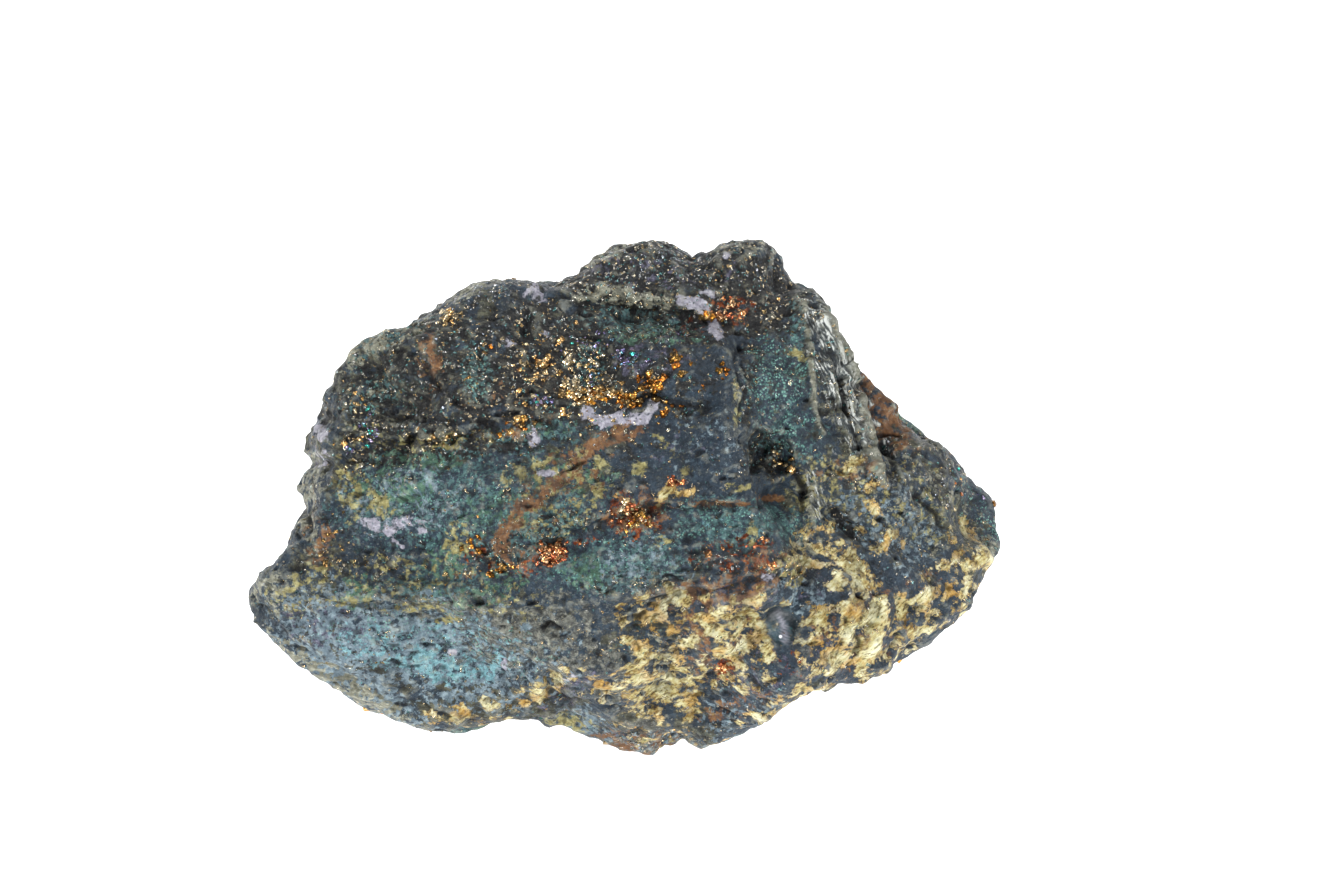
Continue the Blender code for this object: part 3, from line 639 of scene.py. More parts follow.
# Fine relief in millimetres along the surface's normal: flakes, grit, stepped foliation bands, pores,
# splinters and clots, each a noise times its height, where its mask lets it show
def fineRelief(points, masks, inFront):
    x, y, h = points.T
    rise = np.zeros(len(points))
    sheer = 1 - surface["sheerSlate"] * masks["slate"] - surface["sheerPale"] * masks["pale"]
    for number, (size, slope) in enumerate(surface["flakes"]):
        rise += sheer * chipped(points, size, slope, 101 + 9 * number, surface["flakeSharpness"])
    size, slope, sharpness = surface["backFlakes"]
    rise += smoothStep(*surface["backDepths"], -h) * chipped(points, size, slope, 173, sharpness)
    for number, (size, height) in enumerate(surface["grit"]):
        rise += height * noise(points, size, 131 + 9 * number)
    spacing, height = surface["bands"]
    leanH, leanX = surface["bandLean"]
    size, reach = surface["bandWaves"]
    climb, gain, off = surface["bandProfile"]
    level = (y + leanH * h + leanX * x + reach * noise(points, size, 151)) / spacing
    saw = level - np.floor(level)
    band = smoothStep(0, climb, saw) * (1 - saw)
    faint = surface["bandFaint"]
    showing = patchy(points * surface["bandStretch"], *surface["bandPatches"])
    rise += height * (band * gain - off) * showing * (faint + (1 - faint) * masks["charcoal"])
    size, depth = surface["pores"]
    pores = noise(points * surface["poreStretch"], size, 163) + surface["poreGain"] * masks["porous"]
    rise -= depth * smoothStep(*surface["poreEdge"], pores) * inFront
    width, length, height = surface["splinters"]
    c, s = math.cos(surface["splinterTurn"]), math.sin(surface["splinterTurn"])
    strips = np.stack([(x * c - y * s) / length, (x * s + y * c) / width, h / width], axis=1)
    rise += height * masks["splinter"] * inFront * (1 - surface["splinterCut"] * abs(noise(strips, 1.0, 241)))
    size, height = surface["knobs"]
    rise += height * masks["charcoal"] * np.clip(noise(points, size, 167), surface["knobFloor"], 1)
    low, high, sheer = surface["quartzSheer"]
    rise *= 1 - sheer * smoothStep(low, high, masks["quartz"])
    rise *= 1 - surface["shellSheer"] * masks["shell"]
    return rise + sum(height * masks[name] for name, height in surface["raised"].items())


# How far each point lies below the mean of its surroundings, in millimetres: positive in hollows
def hollowness(points, quads, normals, rounds):
    mean = points
    share = np.bincount(quads.ravel(), minlength=len(points))[:, None]
    for _ in range(rounds):
        centres = np.repeat(mean[quads].mean(axis=1), 4, axis=0)
        total = [np.bincount(quads.ravel(), centres[:, axis], len(points)) for axis in range(3)]
        mean = np.stack(total, axis=1) / share
    return ((mean - points) * normals).sum(axis=1) / mm


# An object at the origin from rows of points and rows of corner numbers
def makeMesh(name, points, faces):
    mesh = bpy.data.meshes.new(name)
    mesh.vertices.add(len(points))
    mesh.vertices.foreach_set("co", points.astype(np.float32).ravel())
    mesh.loops.add(faces.size)
    mesh.loops.foreach_set("vertex_index", faces.astype(np.int32).ravel())
    mesh.polygons.add(len(faces))
    mesh.polygons.foreach_set("loop_start", np.arange(0, faces.size, faces.shape[1], dtype=np.int32))
    mesh.update(calc_edges=True)
    mesh.validate()
    thing = bpy.data.objects.new(name, mesh)
    bpy.context.scene.collection.objects.link(thing)
    return thing


def addAttribute(mesh, name, kind, values):
    layer = mesh.attributes.new(name, kind, "POINT")
    layer.data.foreach_set({"FLOAT": "value", "FLOAT_VECTOR": "vector", "FLOAT_COLOR": "color"}[kind],
                           np.asarray(values, np.float32).ravel())


# The whole skin: block, relief and marks, tipped onto the table, then fine relief and the flat base
def makeSurface():
    ways, quads = gridWays(surface["rows"], surface["shape"], surface["lift"])
    points = ways * roughReach(ways)[:, None]
    points[:, :2] *= outlineFit(points)[:, None]
    points[:, 2] += marks(points)
    x, y, h = points.T
    inFront = smoothStep(*surface["front"], h)
    masks = {name: zoneMask(points, name, inFront, number) for number, name in enumerate(spread)}
    for name in ("olive", "porous", "pale", "rust"):
        masks[name] *= 1 - surface["slateClears"] * masks["slate"]
    size, reach = surface["shellRagged"]
    shell = ovalDistance(x, y, pits["shellChip"]) + reach * noise(points, size, 231)
    masks["shell"] = (1 - smoothStep(*surface["shellEdge"], shell)) * inFront
    rim, stripe = (abs(besideLine(x, y, line)[0]) / halfWidth
                   for line, halfWidth in (surface["shellRim"], surface["shellStripe"]))
    corner = ovalDistance(x, y, surface["shellCorner"])
    masks["shade"] = masks["shell"] * (1 - smoothStep(*surface["shadeEdge"], np.minimum(rim, corner)))
    masks["stripe"] = masks["shell"] * (1 - smoothStep(*surface["stripeEdge"], stripe))
    masks["crack"] = crackDepth(points, inFront)
    masks["rib"] = alongLines(points, ribs, ribStyle) * inFront
    placed = stand(points)
    normals = pointNormals(placed, quads)
    rise = fineRelief(points, masks, inFront) - masks["crack"] + masks["rib"]
    placed = placed + normals * rise[:, None] * mm
    middle = view["middleHeight"] * mm
    shorten = np.minimum(1, middle / np.maximum(middle - placed[:, 2], 1e-6))  # rays end on the table
    placed = (placed - (0, 0, middle)) * shorten[:, None] + (0, 0, middle)
    skin = makeMesh("oreSurface", placed, quads)
    skin.data.shade_smooth()
    addAttribute(skin.data, "place", "FLOAT_VECTOR", points)
    for name, mask in masks.items():
        addAttribute(skin.data, name, "FLOAT", mask)
    normals = pointNormals(placed, quads)
    for name, rounds in zip(("hollow", "deepHollow"), surface["hollowRounds"]):
        addAttribute(skin.data, name, "FLOAT", hollowness(placed, quads, normals, rounds))
    print("surface:", len(quads) * 2, "triangles")
    return skin, points, placed, normals, quads, inFront


# Fields of small bright crystals: ovals (x, y, half width, half height, turn, density)
grainFields = {
    "gold": {
        "count": 680, "size": (0.12, 0.36), "behind": 0.34, "darkest": 0.16,
        "colours": [(1.0, 0.72, 0.34), (0.95, 0.78, 0.48), (1.0, 0.60, 0.22), (0.86, 0.80, 0.62)],
        "ovals": [
            (-8.5, 15.6, 9, 5.0, 0, 0.3), (-5.4, 13.8, 3.4, 3.4, 0, 0.6), (-21.2, 22, 2, 1, 20, 1.0),
            (-32.7, 11.6, 1.8, 1.8, 0, 0.7), (-32.8, 7.4, 1.9, 1.4, 0, 0.8), (-32.8, 4, 1.9, 1.1, 0, 0.8),
            (-22, 7.6, 5, 1.2, 4, 0.6), (-13.3, 5.4, 0.9, 0.8, 0, 1.0), (18.8, 5.0, 1.3, 2.2, 24, 1.0),
            (17.5, 23, 1.5, 1.4, 0, 1.0), (-21, -9.4, 2.6, 1, 20, 0.6), (-35, -6, 2, 3, 0, 0.3),
            (20.4, -8.8, 1.2, 1.4, 0, 0.7), (2, -1.4, 3, 2, 0, 0.3), (-21, -14.4, 1.4, 0.6, 0, 0.8),
            (-16.8, -1.6, 1, 0.5, 20, 0.8), (-1, 9.6, 6, 1.6, -10, 0.4), (3, -28, 5, 1.6, 0, 0.25),
        ],
    },
    "clot": {
        "count": 150, "size": (0.22, 0.56), "behind": 0.02, "darkest": 0.45,
        "colours": [(1.0, 0.74, 0.40), (1.0, 0.62, 0.26), (0.98, 0.82, 0.54)],
        "ovals": [
            (-7.4, 14.8, 5.4, 4, 0, 0.2), (-6.6, 15, 0.9, 3.0, -8, 1.0), (-5.4, 12.9, 1.9, 0.9, 0, 1.0),
            (-9.9, 16.6, 1.2, 0.8, 20, 0.7), (-10.4, 15, 1.4, 0.5, 0, 0.7), (-6, 21.6, 0.7, 0.5, 0, 0.6),
            (-2.2, 13, 1.6, 0.8, 0, 0.6), (-12.5, 16.4, 0.8, 0.6, 0, 0.5), (-21.6, 22, 1.0, 0.7, 20, 0.7),
            (-5.1, 7.7, 0.5, 0.5, 0, 0.5), (19.2, 4.2, 0.9, 1.4, 24, 0.7), (-13.3, 10.5, 0.5, 0.4, 0, 0.5),
            (0.4, -0.2, 1.2, 0.9, 0, 0.25),
        ],
    },
    "orange": {
        "count": 330, "size": (0.20, 0.55), "behind": 0.04, "darkest": 0.16,
        "colours": [(1.0, 0.42, 0.06), (1.0, 0.52, 0.12), (0.95, 0.60, 0.24), (1.0, 0.34, 0.05)],
        "ovals": [
            (3.3, 14.4, 1.5, 1.4, 0, 1.0), (0, 12, 1.4, 1.3, 0, 0.7), (6.8, 16.8, 1.4, 1.6, 0, 0.35),
            (11.7, 15.6, 0.8, 1.2, 0, 0.3), (9.3, 13.2, 0.8, 0.6, 20, 0.4), (11, 22, 1.2, 0.6, 0, 0.5),
            (-13, 8.8, 2.4, 1, 20, 0.14), (-16.2, 18.4, 0.4, 0.5, 0, 1.0), (3.4, 11, 5, 1.6, 0, 0.08),
            (-4, 12.4, 3, 1.6, 0, 0.4), (1.8, -2.6, 1.6, 1.2, 0, 0.6), (-18.6, -5.6, 1.2, 1, 0, 0.6),
            (-15.6, -8.3, 2, 0.6, 12, 0.6),
        ],
    },
    "ember": {
        "count": 260, "size": (0.16, 0.46), "behind": 0.03, "darkest": 0.35,
        "colours": [(1.0, 0.36, 0.14), (1.0, 0.48, 0.20), (0.9, 0.26, 0.12), (1.0, 0.62, 0.34)],
        "ovals": [
            (12.6, 22.4, 2.2, 0.6, 0, 1.0), (12.8, 24.2, 1.2, 0.6, 0, 0.8), (-8.8, -6.1, 1.7, 1.4, 10, 1.0),
            (0.8, -1.8, 2.4, 1.5, -10, 0.35), (5.8, 2.3, 1.2, 0.4, 0, 1.0), (-11.5, -8.3, 1.2, 0.6, 10, 0.35),
            (13, -6, 4, 1.6, 4, 0.03), (17, -7.8, 1.2, 0.7, 0, 0.16), (-5, -5, 1.6, 0.4, 10, 0.2),
            (11.8, -20.4, 0.8, 0.8, 0, 0.5),
        ],
    },
    "silver": {
        "count": 900, "size": (0.06, 0.17), "behind": 0.30, "darkest": 0.16,
        "colours": [(0.75, 0.78, 0.84), (0.90, 0.86, 0.78), (0.62, 0.70, 0.82), (0.85, 0.76, 0.62)],
        "ovals": [
            (-17, 24.3, 5, 1.5, 14, 0.9), (3, 28, 9, 2.6, 0, 0.4), (10, 26.4, 6, 2, 0, 0.5),
            (-17.6, 19.4, 2.2, 2, 0, 0.6), (-2, 26.6, 5, 1.4, 10, 0.5), (-30.5, 9.2, 1.4, 2.2, 0, 0.8),
            (17, 26, 3, 3, 0, 0.4), (-24, 13, 7, 5, 30, 0.18), (36, 4, 6, 3, -40, 0.2),
        ],
    },
    "peacock": {
        "count": 240, "size": (0.12, 0.32), "behind": 0.08, "darkest": 0.16,
        "colours": [(0.10, 0.75, 0.62), (0.46, 0.40, 0.82), (0.30, 0.62, 0.86), (0.62, 0.52, 0.80)],
        "ovals": [
            (-10.3, 12, 1.2, 0.9, 0, 0.9), (-33, 6, 1.1, 0.5, -10, 1.0), (-30.6, 9, 1.3, 2, 0, 0.6),
            (0.4, 17, 2.4, 1.4, 10, 0.9), (6.6, 20.3, 0.7, 0.5, 0, 0.9), (-3.8, 15.4, 0.6, 2, 0, 0.8),
            (-4, 19, 4, 1.4, 0, 0.25),
        ],
    },
}
grainShape = {
    "sunk": 0.5,  # how far below the surface a crystal's middle is, as a share of its size
    "stretch": (0.6, 1.3),
    "bevel": 0.72,  # how wide its smaller face is
    "ragged": (2.0, 0.25),  # noise on the edges of the ovals: (size, reach)
    "edge": (0.5, 1.25),
    "patches": (5.0, 0.15, 0.7),
    "clearance": 0.6,  # none stand lower than this over the table
    "mostSmall": 2,  # powers: the higher, the fewer are large or bright
    "mostDark": 3,
}


# Unit directions to turns: each row of four numbers is a unit quaternion
def turnMatrices(quaternions):
    w, x, y, z = (quaternions / np.linalg.norm(quaternions, axis=1, keepdims=True)).T
    return np.stack([
        np.stack([1 - 2 * (y * y + z * z), 2 * (x * y - z * w), 2 * (x * z + y * w)], axis=1),
        np.stack([2 * (x * y + z * w), 1 - 2 * (x * x + z * z), 2 * (y * z - x * w)], axis=1),
        np.stack([2 * (x * z - y * w), 2 * (y * z + x * w), 1 - 2 * (x * x + y * y)], axis=1),
    ], axis=1)


# Small blocky crystals in one mesh: an eight-cornered block, one face smaller, turned and sunk at each spot
def makeGrains(name, field, points, placed, normals, quads, inFront, seed):
    random = np.random.default_rng(seed)
    count = field["count"]
    x, y, _ = points.T
    size, reach = grainShape["ragged"]
    ragged = reach * noise(points, size, 211)
    density = np.zeros(len(points))
    for oval in field["ovals"]:
        share = oval[5] * (1 - smoothStep(*grainShape["edge"], ovalDistance(x, y, oval) + ragged))
        density = np.maximum(density, share)
    behind = field["behind"] * patchy(points, *grainShape["patches"], 400 + seed)
    density = density * inFront + behind * (1 - inFront)
    corners = placed[quads]
    area = np.linalg.norm(np.cross(corners[:, 2] - corners[:, 0], corners[:, 3] - corners[:, 1]), axis=1)
    clear = corners[:, :, 2].min(axis=1) > grainShape["clearance"] * mm
    chance = density[quads].mean(axis=1) * area * clear
    spots = random.choice(len(quads), count, p=chance / chance.sum())
    u, v = random.random((2, count, 1))
    weights = [(1 - u) * (1 - v), u * (1 - v), u * v, (1 - u) * v]
    spot, outward = (sum(weight * rows[quads[spots, n]] for n, weight in enumerate(weights))
                     for rows in (placed, normals))
    low, high = field["size"]
    size = (low + (high - low) * random.random(count) ** grainShape["mostSmall"])[:, None] * mm
    box = np.array(list(np.ndindex(2, 2, 2))) * 2.0 - 1
    box[box[:, 2] > 0, :2] *= grainShape["bevel"]
    stretch = random.uniform(*grainShape["stretch"], (count, 1, 3))
    shapes = box * stretch * size[:, :, None]
    turned = np.einsum("nij,nkj->nki", turnMatrices(random.normal(size=(count, 4))), shapes)
    centre = spot - outward * size * grainShape["sunk"]
    verts = (turned + centre[:, None, :]).reshape(-1, 3)
    verts[:, 2] = np.maximum(verts[:, 2], 0.0)
    sides = np.array([(0, 1, 3, 2), (4, 6, 7, 5), (0, 4, 5, 1), (2, 3, 7, 6), (0, 2, 6, 4), (1, 5, 7, 3)])
    faces = (np.arange(count)[:, None, None] * 8 + sides).reshape(-1, 4)
    grains = makeMesh(name, verts, faces)
    colours = np.array(field["colours"])[random.integers(0, len(field["colours"]), count)]
    bright = random.random((count, 1)) ** grainShape["mostDark"]
    colours = colours * (field["darkest"] + (1 - field["darkest"]) * bright)
    colours = np.concatenate([colours, np.ones((count, 1))], axis=1)
    addAttribute(grains.data, "grainColour", "FLOAT_COLOR", np.repeat(colours, 8, axis=0))
    print(name + ":", len(faces) * 2, "triangles")
    return grains


# Screen colour, 0 to 255, to the linear colour that a shader takes
def seen(red, green, blue):
    screen = np.array([red, green, blue]) / 255
    linear = np.where(screen < 0.04045, screen / 12.92, ((screen + 0.055) / 1.055) ** 2.4)
    return (*linear.tolist(), 1.0)


# A node with its settings, and with its inputs set to values or linked to sockets
def addNode(tree, kind, inputs=None, **settings):
    node = tree.nodes.new(kind)
    for key, value in settings.items():
        setattr(node, key, value)
    for key, value in (inputs or {}).items():
        if isinstance(value, bpy.types.NodeSocket):
            tree.links.new(value, node.inputs[key])
        else:
            node.inputs[key].default_value = value
    return node


def readAttribute(tree, name, output="Fac"):
    return addNode(tree, "ShaderNodeAttribute", attribute_name=name).outputs[output]


def doMath(tree, operation, *values):
    return addNode(tree, "ShaderNodeMath", dict(enumerate(values)), operation=operation).outputs[0]


def mapRange(tree, value, fromLow, fromHigh, toLow=0.0, toHigh=1.0):
    inputs = {"Value": value, "From Min": fromLow, "From Max": fromHigh, "To Min": toLow, "To Max": toHigh}
    return addNode(tree, "ShaderNodeMapRange", inputs, interpolation_type="SMOOTHSTEP").outputs[0]


def noiseAt(tree, place, size, detail, rough):
    inputs = {"Vector": place, "Scale": 1 / size, "Detail": detail, "Roughness": rough}
    return addNode(tree, "ShaderNodeTexNoise", inputs).outputs["Fac"]


def colourRamp(tree, value, stops):
    ramp = addNode(tree, "ShaderNodeValToRGB", {"Fac": value})
    while len(ramp.color_ramp.elements) < len(stops):
        ramp.color_ramp.elements.new(0.5)
    for element, (place, colour) in zip(ramp.color_ramp.elements, stops):
        element.position = place
        element.color = colour
    return ramp.outputs["Color"]


def mixColour(tree, share, under, over):
    return addNode(tree, "ShaderNodeMix", {0: share, 6: under, 7: over}, data_type="RGBA").outputs[2]


def mixValue(tree, share, under, over):
    return addNode(tree, "ShaderNodeMix", {0: share, 2: under, 3: over}, data_type="FLOAT").outputs[0]


def vectorMath(tree, operation, *values):
    return addNode(tree, "ShaderNodeVectorMath", dict(enumerate(values)), operation=operation).outputs


# A metallic value and a roughness mixed towards another pair
def mixFinish(tree, share, under, over):
    return [mixValue(tree, share, one, other) for one, other in zip(under, over)]


def startMaterial(name):
    material = bpy.data.materials.new(name)
    material.use_nodes = True
    return material, material.node_tree, material.node_tree.nodes["Principled BSDF"].inputs


# A group that takes a place and numbers, and puts out numbers
def startGroup(name, numbers, outputs):
    group = bpy.data.node_groups.new(name, "ShaderNodeTree")
    group.interface.new_socket("Place", in_out="INPUT", socket_type="NodeSocketVector")
    for label, value in numbers.items():
        socket = group.interface.new_socket(label, in_out="INPUT", socket_type="NodeSocketFloat")
        socket.default_value = value
    for label in outputs:
        group.interface.new_socket(label, in_out="OUTPUT", socket_type="NodeSocketFloat")
    return group, group.nodes.new("NodeGroupInput").outputs, group.nodes.new("NodeGroupOutput").inputs


groupNoises = {
    "patches": {"Detail": 7.0, "Roughness": 0.68},
    "streaks": {"Scale": 1.0, "Detail": 4.0, "Roughness": 0.6, "Distortion": 0.3},
}
patchStyle = {"window": 7.0, "deepest": 1.1}  # how soon a small mask counts as whole, where a patch is deep


# Ragged cover: noise breaks a mask into crisp patches that cover about the mask's share of the surface
def makePatchGroup():
    numbers = {"Mask": 0.0, "Size": 2.0, "Seed": 0.0, "Ragged": 5.0, "Edge": 0.1}
    group, given, result = startGroup("patchCover", numbers, ["Cover", "Depth"])
    moved = vectorMath(group, "ADD", given["Place"], given["Seed"])[0]
    scale = doMath(group, "DIVIDE", 1.0, given["Size"])
    inputs = {"Vector": moved, "Scale": scale, **groupNoises["patches"]}
    rough = addNode(group, "ShaderNodeTexNoise", inputs).outputs["Fac"]
    swing = doMath(group, "MULTIPLY", doMath(group, "SUBTRACT", rough, 0.5), given["Ragged"])
    window = doMath(group, "MULTIPLY", given["Mask"], patchStyle["window"])
    window = doMath(group, "MINIMUM", window, 1.0)
    value = doMath(group, "MULTIPLY_ADD", swing, window, given["Mask"])
    low = doMath(group, "SUBTRACT", 0.5, given["Edge"])
    high = doMath(group, "ADD", 0.5, given["Edge"])
    group.links.new(mapRange(group, value, low, high), result["Cover"])
    group.links.new(mapRange(group, value, 0.5, patchStyle["deepest"]), result["Depth"])
    return group


# Grain facets: cells that each tilt their own way, as a height in millimetres, and two numbers for each cell
def makeFacetGroup():
    group, given, result = startGroup("grainFacets", {"Size": 0.4, "Tilt": 0.5}, ["Height", "Number", "Hue"])
    scale = doMath(group, "DIVIDE", 1.0, given["Size"])
    cells = addNode(group, "ShaderNodeTexVoronoi", {"Vector": given["Place"], "Scale": scale})
    apart = vectorMath(group, "SUBTRACT", given["Place"], cells.outputs["Position"])[0]
    lean = vectorMath(group, "SUBTRACT", cells.outputs["Color"], (0.5, 0.5, 0.5))[0]
    slope = doMath(group, "MULTIPLY", vectorMath(group, "DOT_PRODUCT", apart, lean)["Value"], 2.0)
    group.links.new(doMath(group, "MULTIPLY", slope, given["Tilt"]), result["Height"])
    parts = addNode(group, "ShaderNodeSeparateColor", {0: cells.outputs["Color"]}).outputs
    group.links.new(parts[0], result["Number"])
    group.links.new(parts[1], result["Hue"])
    return group


# Fine parallel streaks: noise drawn out along a direction of the broad face
def makeStreakGroup():
    group, given, result = startGroup("grownStreaks", {"Turn": 0.0, "Width": 0.3, "Length": 3.0}, ["Value"])
    turned = addNode(group, "ShaderNodeVectorRotate", {"Vector": given["Place"], "Angle": given["Turn"]},
                     rotation_type="Z_AXIS").outputs[0]
    along = doMath(group, "DIVIDE", 1.0, given["Length"])
    across = doMath(group, "DIVIDE", 1.0, given["Width"])
    scale = addNode(group, "ShaderNodeCombineXYZ", {0: along, 1: across, 2: across}).outputs[0]
    drawn = vectorMath(group, "MULTIPLY", turned, scale)[0]
    inputs = {"Vector": drawn, **groupNoises["streaks"]}
    group.links.new(addNode(group, "ShaderNodeTexNoise", inputs).outputs["Fac"], result["Value"])
    return group


patchGroup = makePatchGroup()
facetGroup = makeFacetGroup()
streakGroup = makeStreakGroup()


def grainFacets(tree, place, size, tilt):
    inputs = {"Place": place, "Size": size, "Tilt": tilt}
    return addNode(tree, "ShaderNodeGroup", inputs, node_tree=facetGroup).outputs


def streaksAt(tree, place, degrees, width, length):
    inputs = {"Place": place, "Turn": math.radians(degrees), "Width": width, "Length": length}
    return addNode(tree, "ShaderNodeGroup", inputs, node_tree=streakGroup).outputs["Value"]


# Colours of the tarnish films, 0 to 255, dark to light
tarnish = {
    "slate": [(0.30, (19, 27, 35)), (0.5, (35, 48, 60)), (0.74, (73, 92, 107))],
    "olive": [(0.32, (30, 30, 25)), (0.5, (66, 66, 54)), (0.70, (122, 122, 100))],
    "charcoal": [(0.34, (10, 11, 12)), (0.5, (28, 29, 30)), (0.70, (64, 62, 56))],
    "teal": [(0.34, (32, 50, 54)), (0.5, (60, 90, 92)), (0.66, (104, 142, 138))],
    "dots": [(0.36, (64, 104, 98)), (0.5, (94, 142, 132)), (0.64, (134, 180, 166))],
    # the splinter film's lightest stops are painted highlights along the splinters
    "splinter": [(0.38, (20, 23, 25)), (0.48, (52, 59, 61)), (0.54, (104, 109, 107)),
                 (0.61, (206, 209, 204))],
    "blue": [(0.36, (54, 66, 76)), (0.5, (100, 118, 128)), (0.64, (148, 166, 172))],
    "sky": [(0.36, (74, 108, 116)), (0.5, (102, 146, 154)), (0.64, (140, 178, 184))],
    "porous": [(0.36, (36, 37, 36)), (0.5, (80, 82, 78)), (0.64, (136, 136, 124))],
    "green": [(0.36, (34, 58, 48)), (0.5, (64, 98, 80)), (0.64, (118, 150, 126))],
    "rust": [(0.34, (54, 36, 26)), (0.5, (112, 78, 50)), (0.66, (160, 118, 74))],
    "violet": [(0.36, (36, 34, 46)), (0.5, (72, 71, 88)), (0.64, (120, 118, 138))],
    "pale": [(0.34, (64, 64, 54)), (0.5, (116, 116, 100)), (0.68, (192, 192, 176))],
    "brass": [(0.37, (70, 58, 36)), (0.43, (146, 122, 66)), (0.485, (184, 172, 116)), (0.54, (206, 201, 158)),
              (0.63, (222, 220, 192))],
    "straw": [(0.34, (80, 74, 46)), (0.5, (144, 136, 86)), (0.64, (198, 194, 144))],
    "ember": [(0.34, (44, 18, 12)), (0.5, (104, 50, 30)), (0.66, (196, 112, 62))],
    "shell": [(0.40, (34, 50, 56)), (0.5, (56, 76, 82)), (0.60, (92, 106, 114))],
    "quartz": [(0.34, (112, 110, 120)), (0.5, (148, 146, 158)), (0.66, (190, 188, 198))],
}


# Films over the bare slate, from the bottom up: name, what its ramp reads, patch size, ragged, edge, and the
# film's metallic and roughness
films = [
    ("olive", "banded", 2.0, 4.5, 0.25, 0.30, 0.50),
    ("charcoal", "banded", 1.8, 4.0, 0.20, 0.40, 0.48),
    ("teal", "mottle", 0.6, 5.0, 0.12, 0.10, 0.60),
    ("blue", "mottle", 0.9, 5.0, 0.12, 0.10, 0.62),
    ("sky", "fine", 0.8, 5.0, 0.12, 0.05, 0.62),
    ("porous", "fine", 1.2, 4.5, 0.18, 0.15, 0.60),
    ("green", "mottle", 0.9, 5.0, 0.20, 0.05, 0.62),
    ("dots", "fine", 1.4, 4.5, 0.20, 0.10, 0.50),
    ("violet", "fine", 1.2, 4.5, 0.25, 0.40, 0.45),
    ("pale", "banded", 1.0, 4.5, 0.12, 0.30, 0.50),
    ("rust", "mottle", 1.2, 4.0, 0.20, 0.10, 0.66),
    ("splinter", "splintered", 1.4, 4.0, 0.20, 0.10, 0.50),
    ("straw", "mottle", 0.9, 4.5, 0.26, 0.30, 0.50),
    ("brass", "cleaved", 2.2, 4.2, 0.05, 0.45, 0.42),
    ("ember", "fine", 0.8, 5.0, 0.12, 0.80, 0.34),
    ("quartz", "fine", 1.2, 3.2, 0.16, 0.00, 0.40),
]

# Noises of the finish, (size, detail, roughness), and its streaks, (turn in degrees, width, length)
finishNoises = {
    "fine": (0.6, 6.0, 0.75), "crumbs": (1.3, 7.0, 0.72), "grain": (2.8, 5.0, 0.62),
    "ochre": (3.4, 3.0, 0.55), "specks": (0.5, 4.0, 0.7), "clouds": (5.0, 3.0, 0.55),
    "paintedGlints": (0.24, 2.0, 0.6),
}
finishStreaks = {"level": (8, 0.5, 2.6), "strokes": (-40, 0.36, 1.3), "splintered": (68, 0.30, 2.0)}

# Where each effect starts and where it is whole
finishLevels = {
    "dots": (0.44, 0.30), "specks": (0.58, 0.68), "clouds": (0.46, 0.34), "paintedGlints": (0.63, 0.70),
    "hollow": (0.03, 0.14), "deepHollow": (0.25, 0.9), "raisedHighlight": (-0.02, -0.13), "raisedHighlightPatches": (0.42, 0.6),
    "crack": (0.15, 0.7), "rib": (0.25, 0.8), "paintedHighlight": (0.26, 0.12), "shine": (-0.01, 0.01),
    "ochre": (0.51, 0.62), "strokes": (0.45, 0.37), "thin": (0.3, 0.0),
}

# Stains and painted light, from the bottom up: (strength, colour, or a film's name and what its ramp reads)
brassStains = {"ochre": (0.55, (194, 146, 66)), "strokes": (0.7, (74, 66, 50)), "thin": (0.6, (138, 106, 54))}
stains = {
    # the pale tiny specks are painted glints
    "specks": (1.0, (22, 23, 25)), "clouds": (0.4, (26, 30, 34)), "paintedGlints": (0.22, (170, 176, 168)),
    # the dark in the hollows is painted shade, the pale on raised points painted highlight
    "hollowShade": (0.6, (18, 18, 19)), "raisedHighlight": (0.28, (168, 168, 150)), "crack": (0.75, (12, 12, 13)),
    # the pale along the rib crests is painted highlight
    "rib": (0.75, ("pale", "banded")), "shell": (0.85, ("shell", "crumbs")), "stripe": (0.9, (134, 132, 142)),
    # the chip's dark rim and corner are painted shade, its near-white spot a painted highlight
    "shade": (0.9, (14, 20, 24)), "paintedHighlight": (1.0, (236, 238, 242)),
}
oreFinish = {
    "bare": (0.2, 0.5),  # (metallic, roughness) of the slate under the films
    "speckShares": (0.5, 0.25, -0.25),  # how strong the specks are, and what brass and blue add to that
    "cellScale": 3.1,  # teal dots to a millimetre
    # where the glassy chip's painted highlight sits
    "paintedHighlightAt": (18.75, -16.4, 0),
    "shell": (0.0, 0.3),  # (metallic, roughness)
    "shellSheer": -0.85,  # what the glassy chip takes off the bump
    "facets": [(0.8, 0.38), (0.27, 0.5)],  # (size, tilt)
    "grit": 0.55,
    "shinyFrom": (0.98, -0.12),  # share of the cells that stay dull, and what charcoal adds to that
    "shiny": (1.0, 0.22),  # (metallic, roughness)
    "shinyShare": 0.6,
    "shinyColours": [(0.0, (196, 166, 116)), (0.4, (208, 196, 168)), (0.65, (180, 182, 182)),
                     (0.9, (100, 146, 144))],
    "specular": 0.35,
}


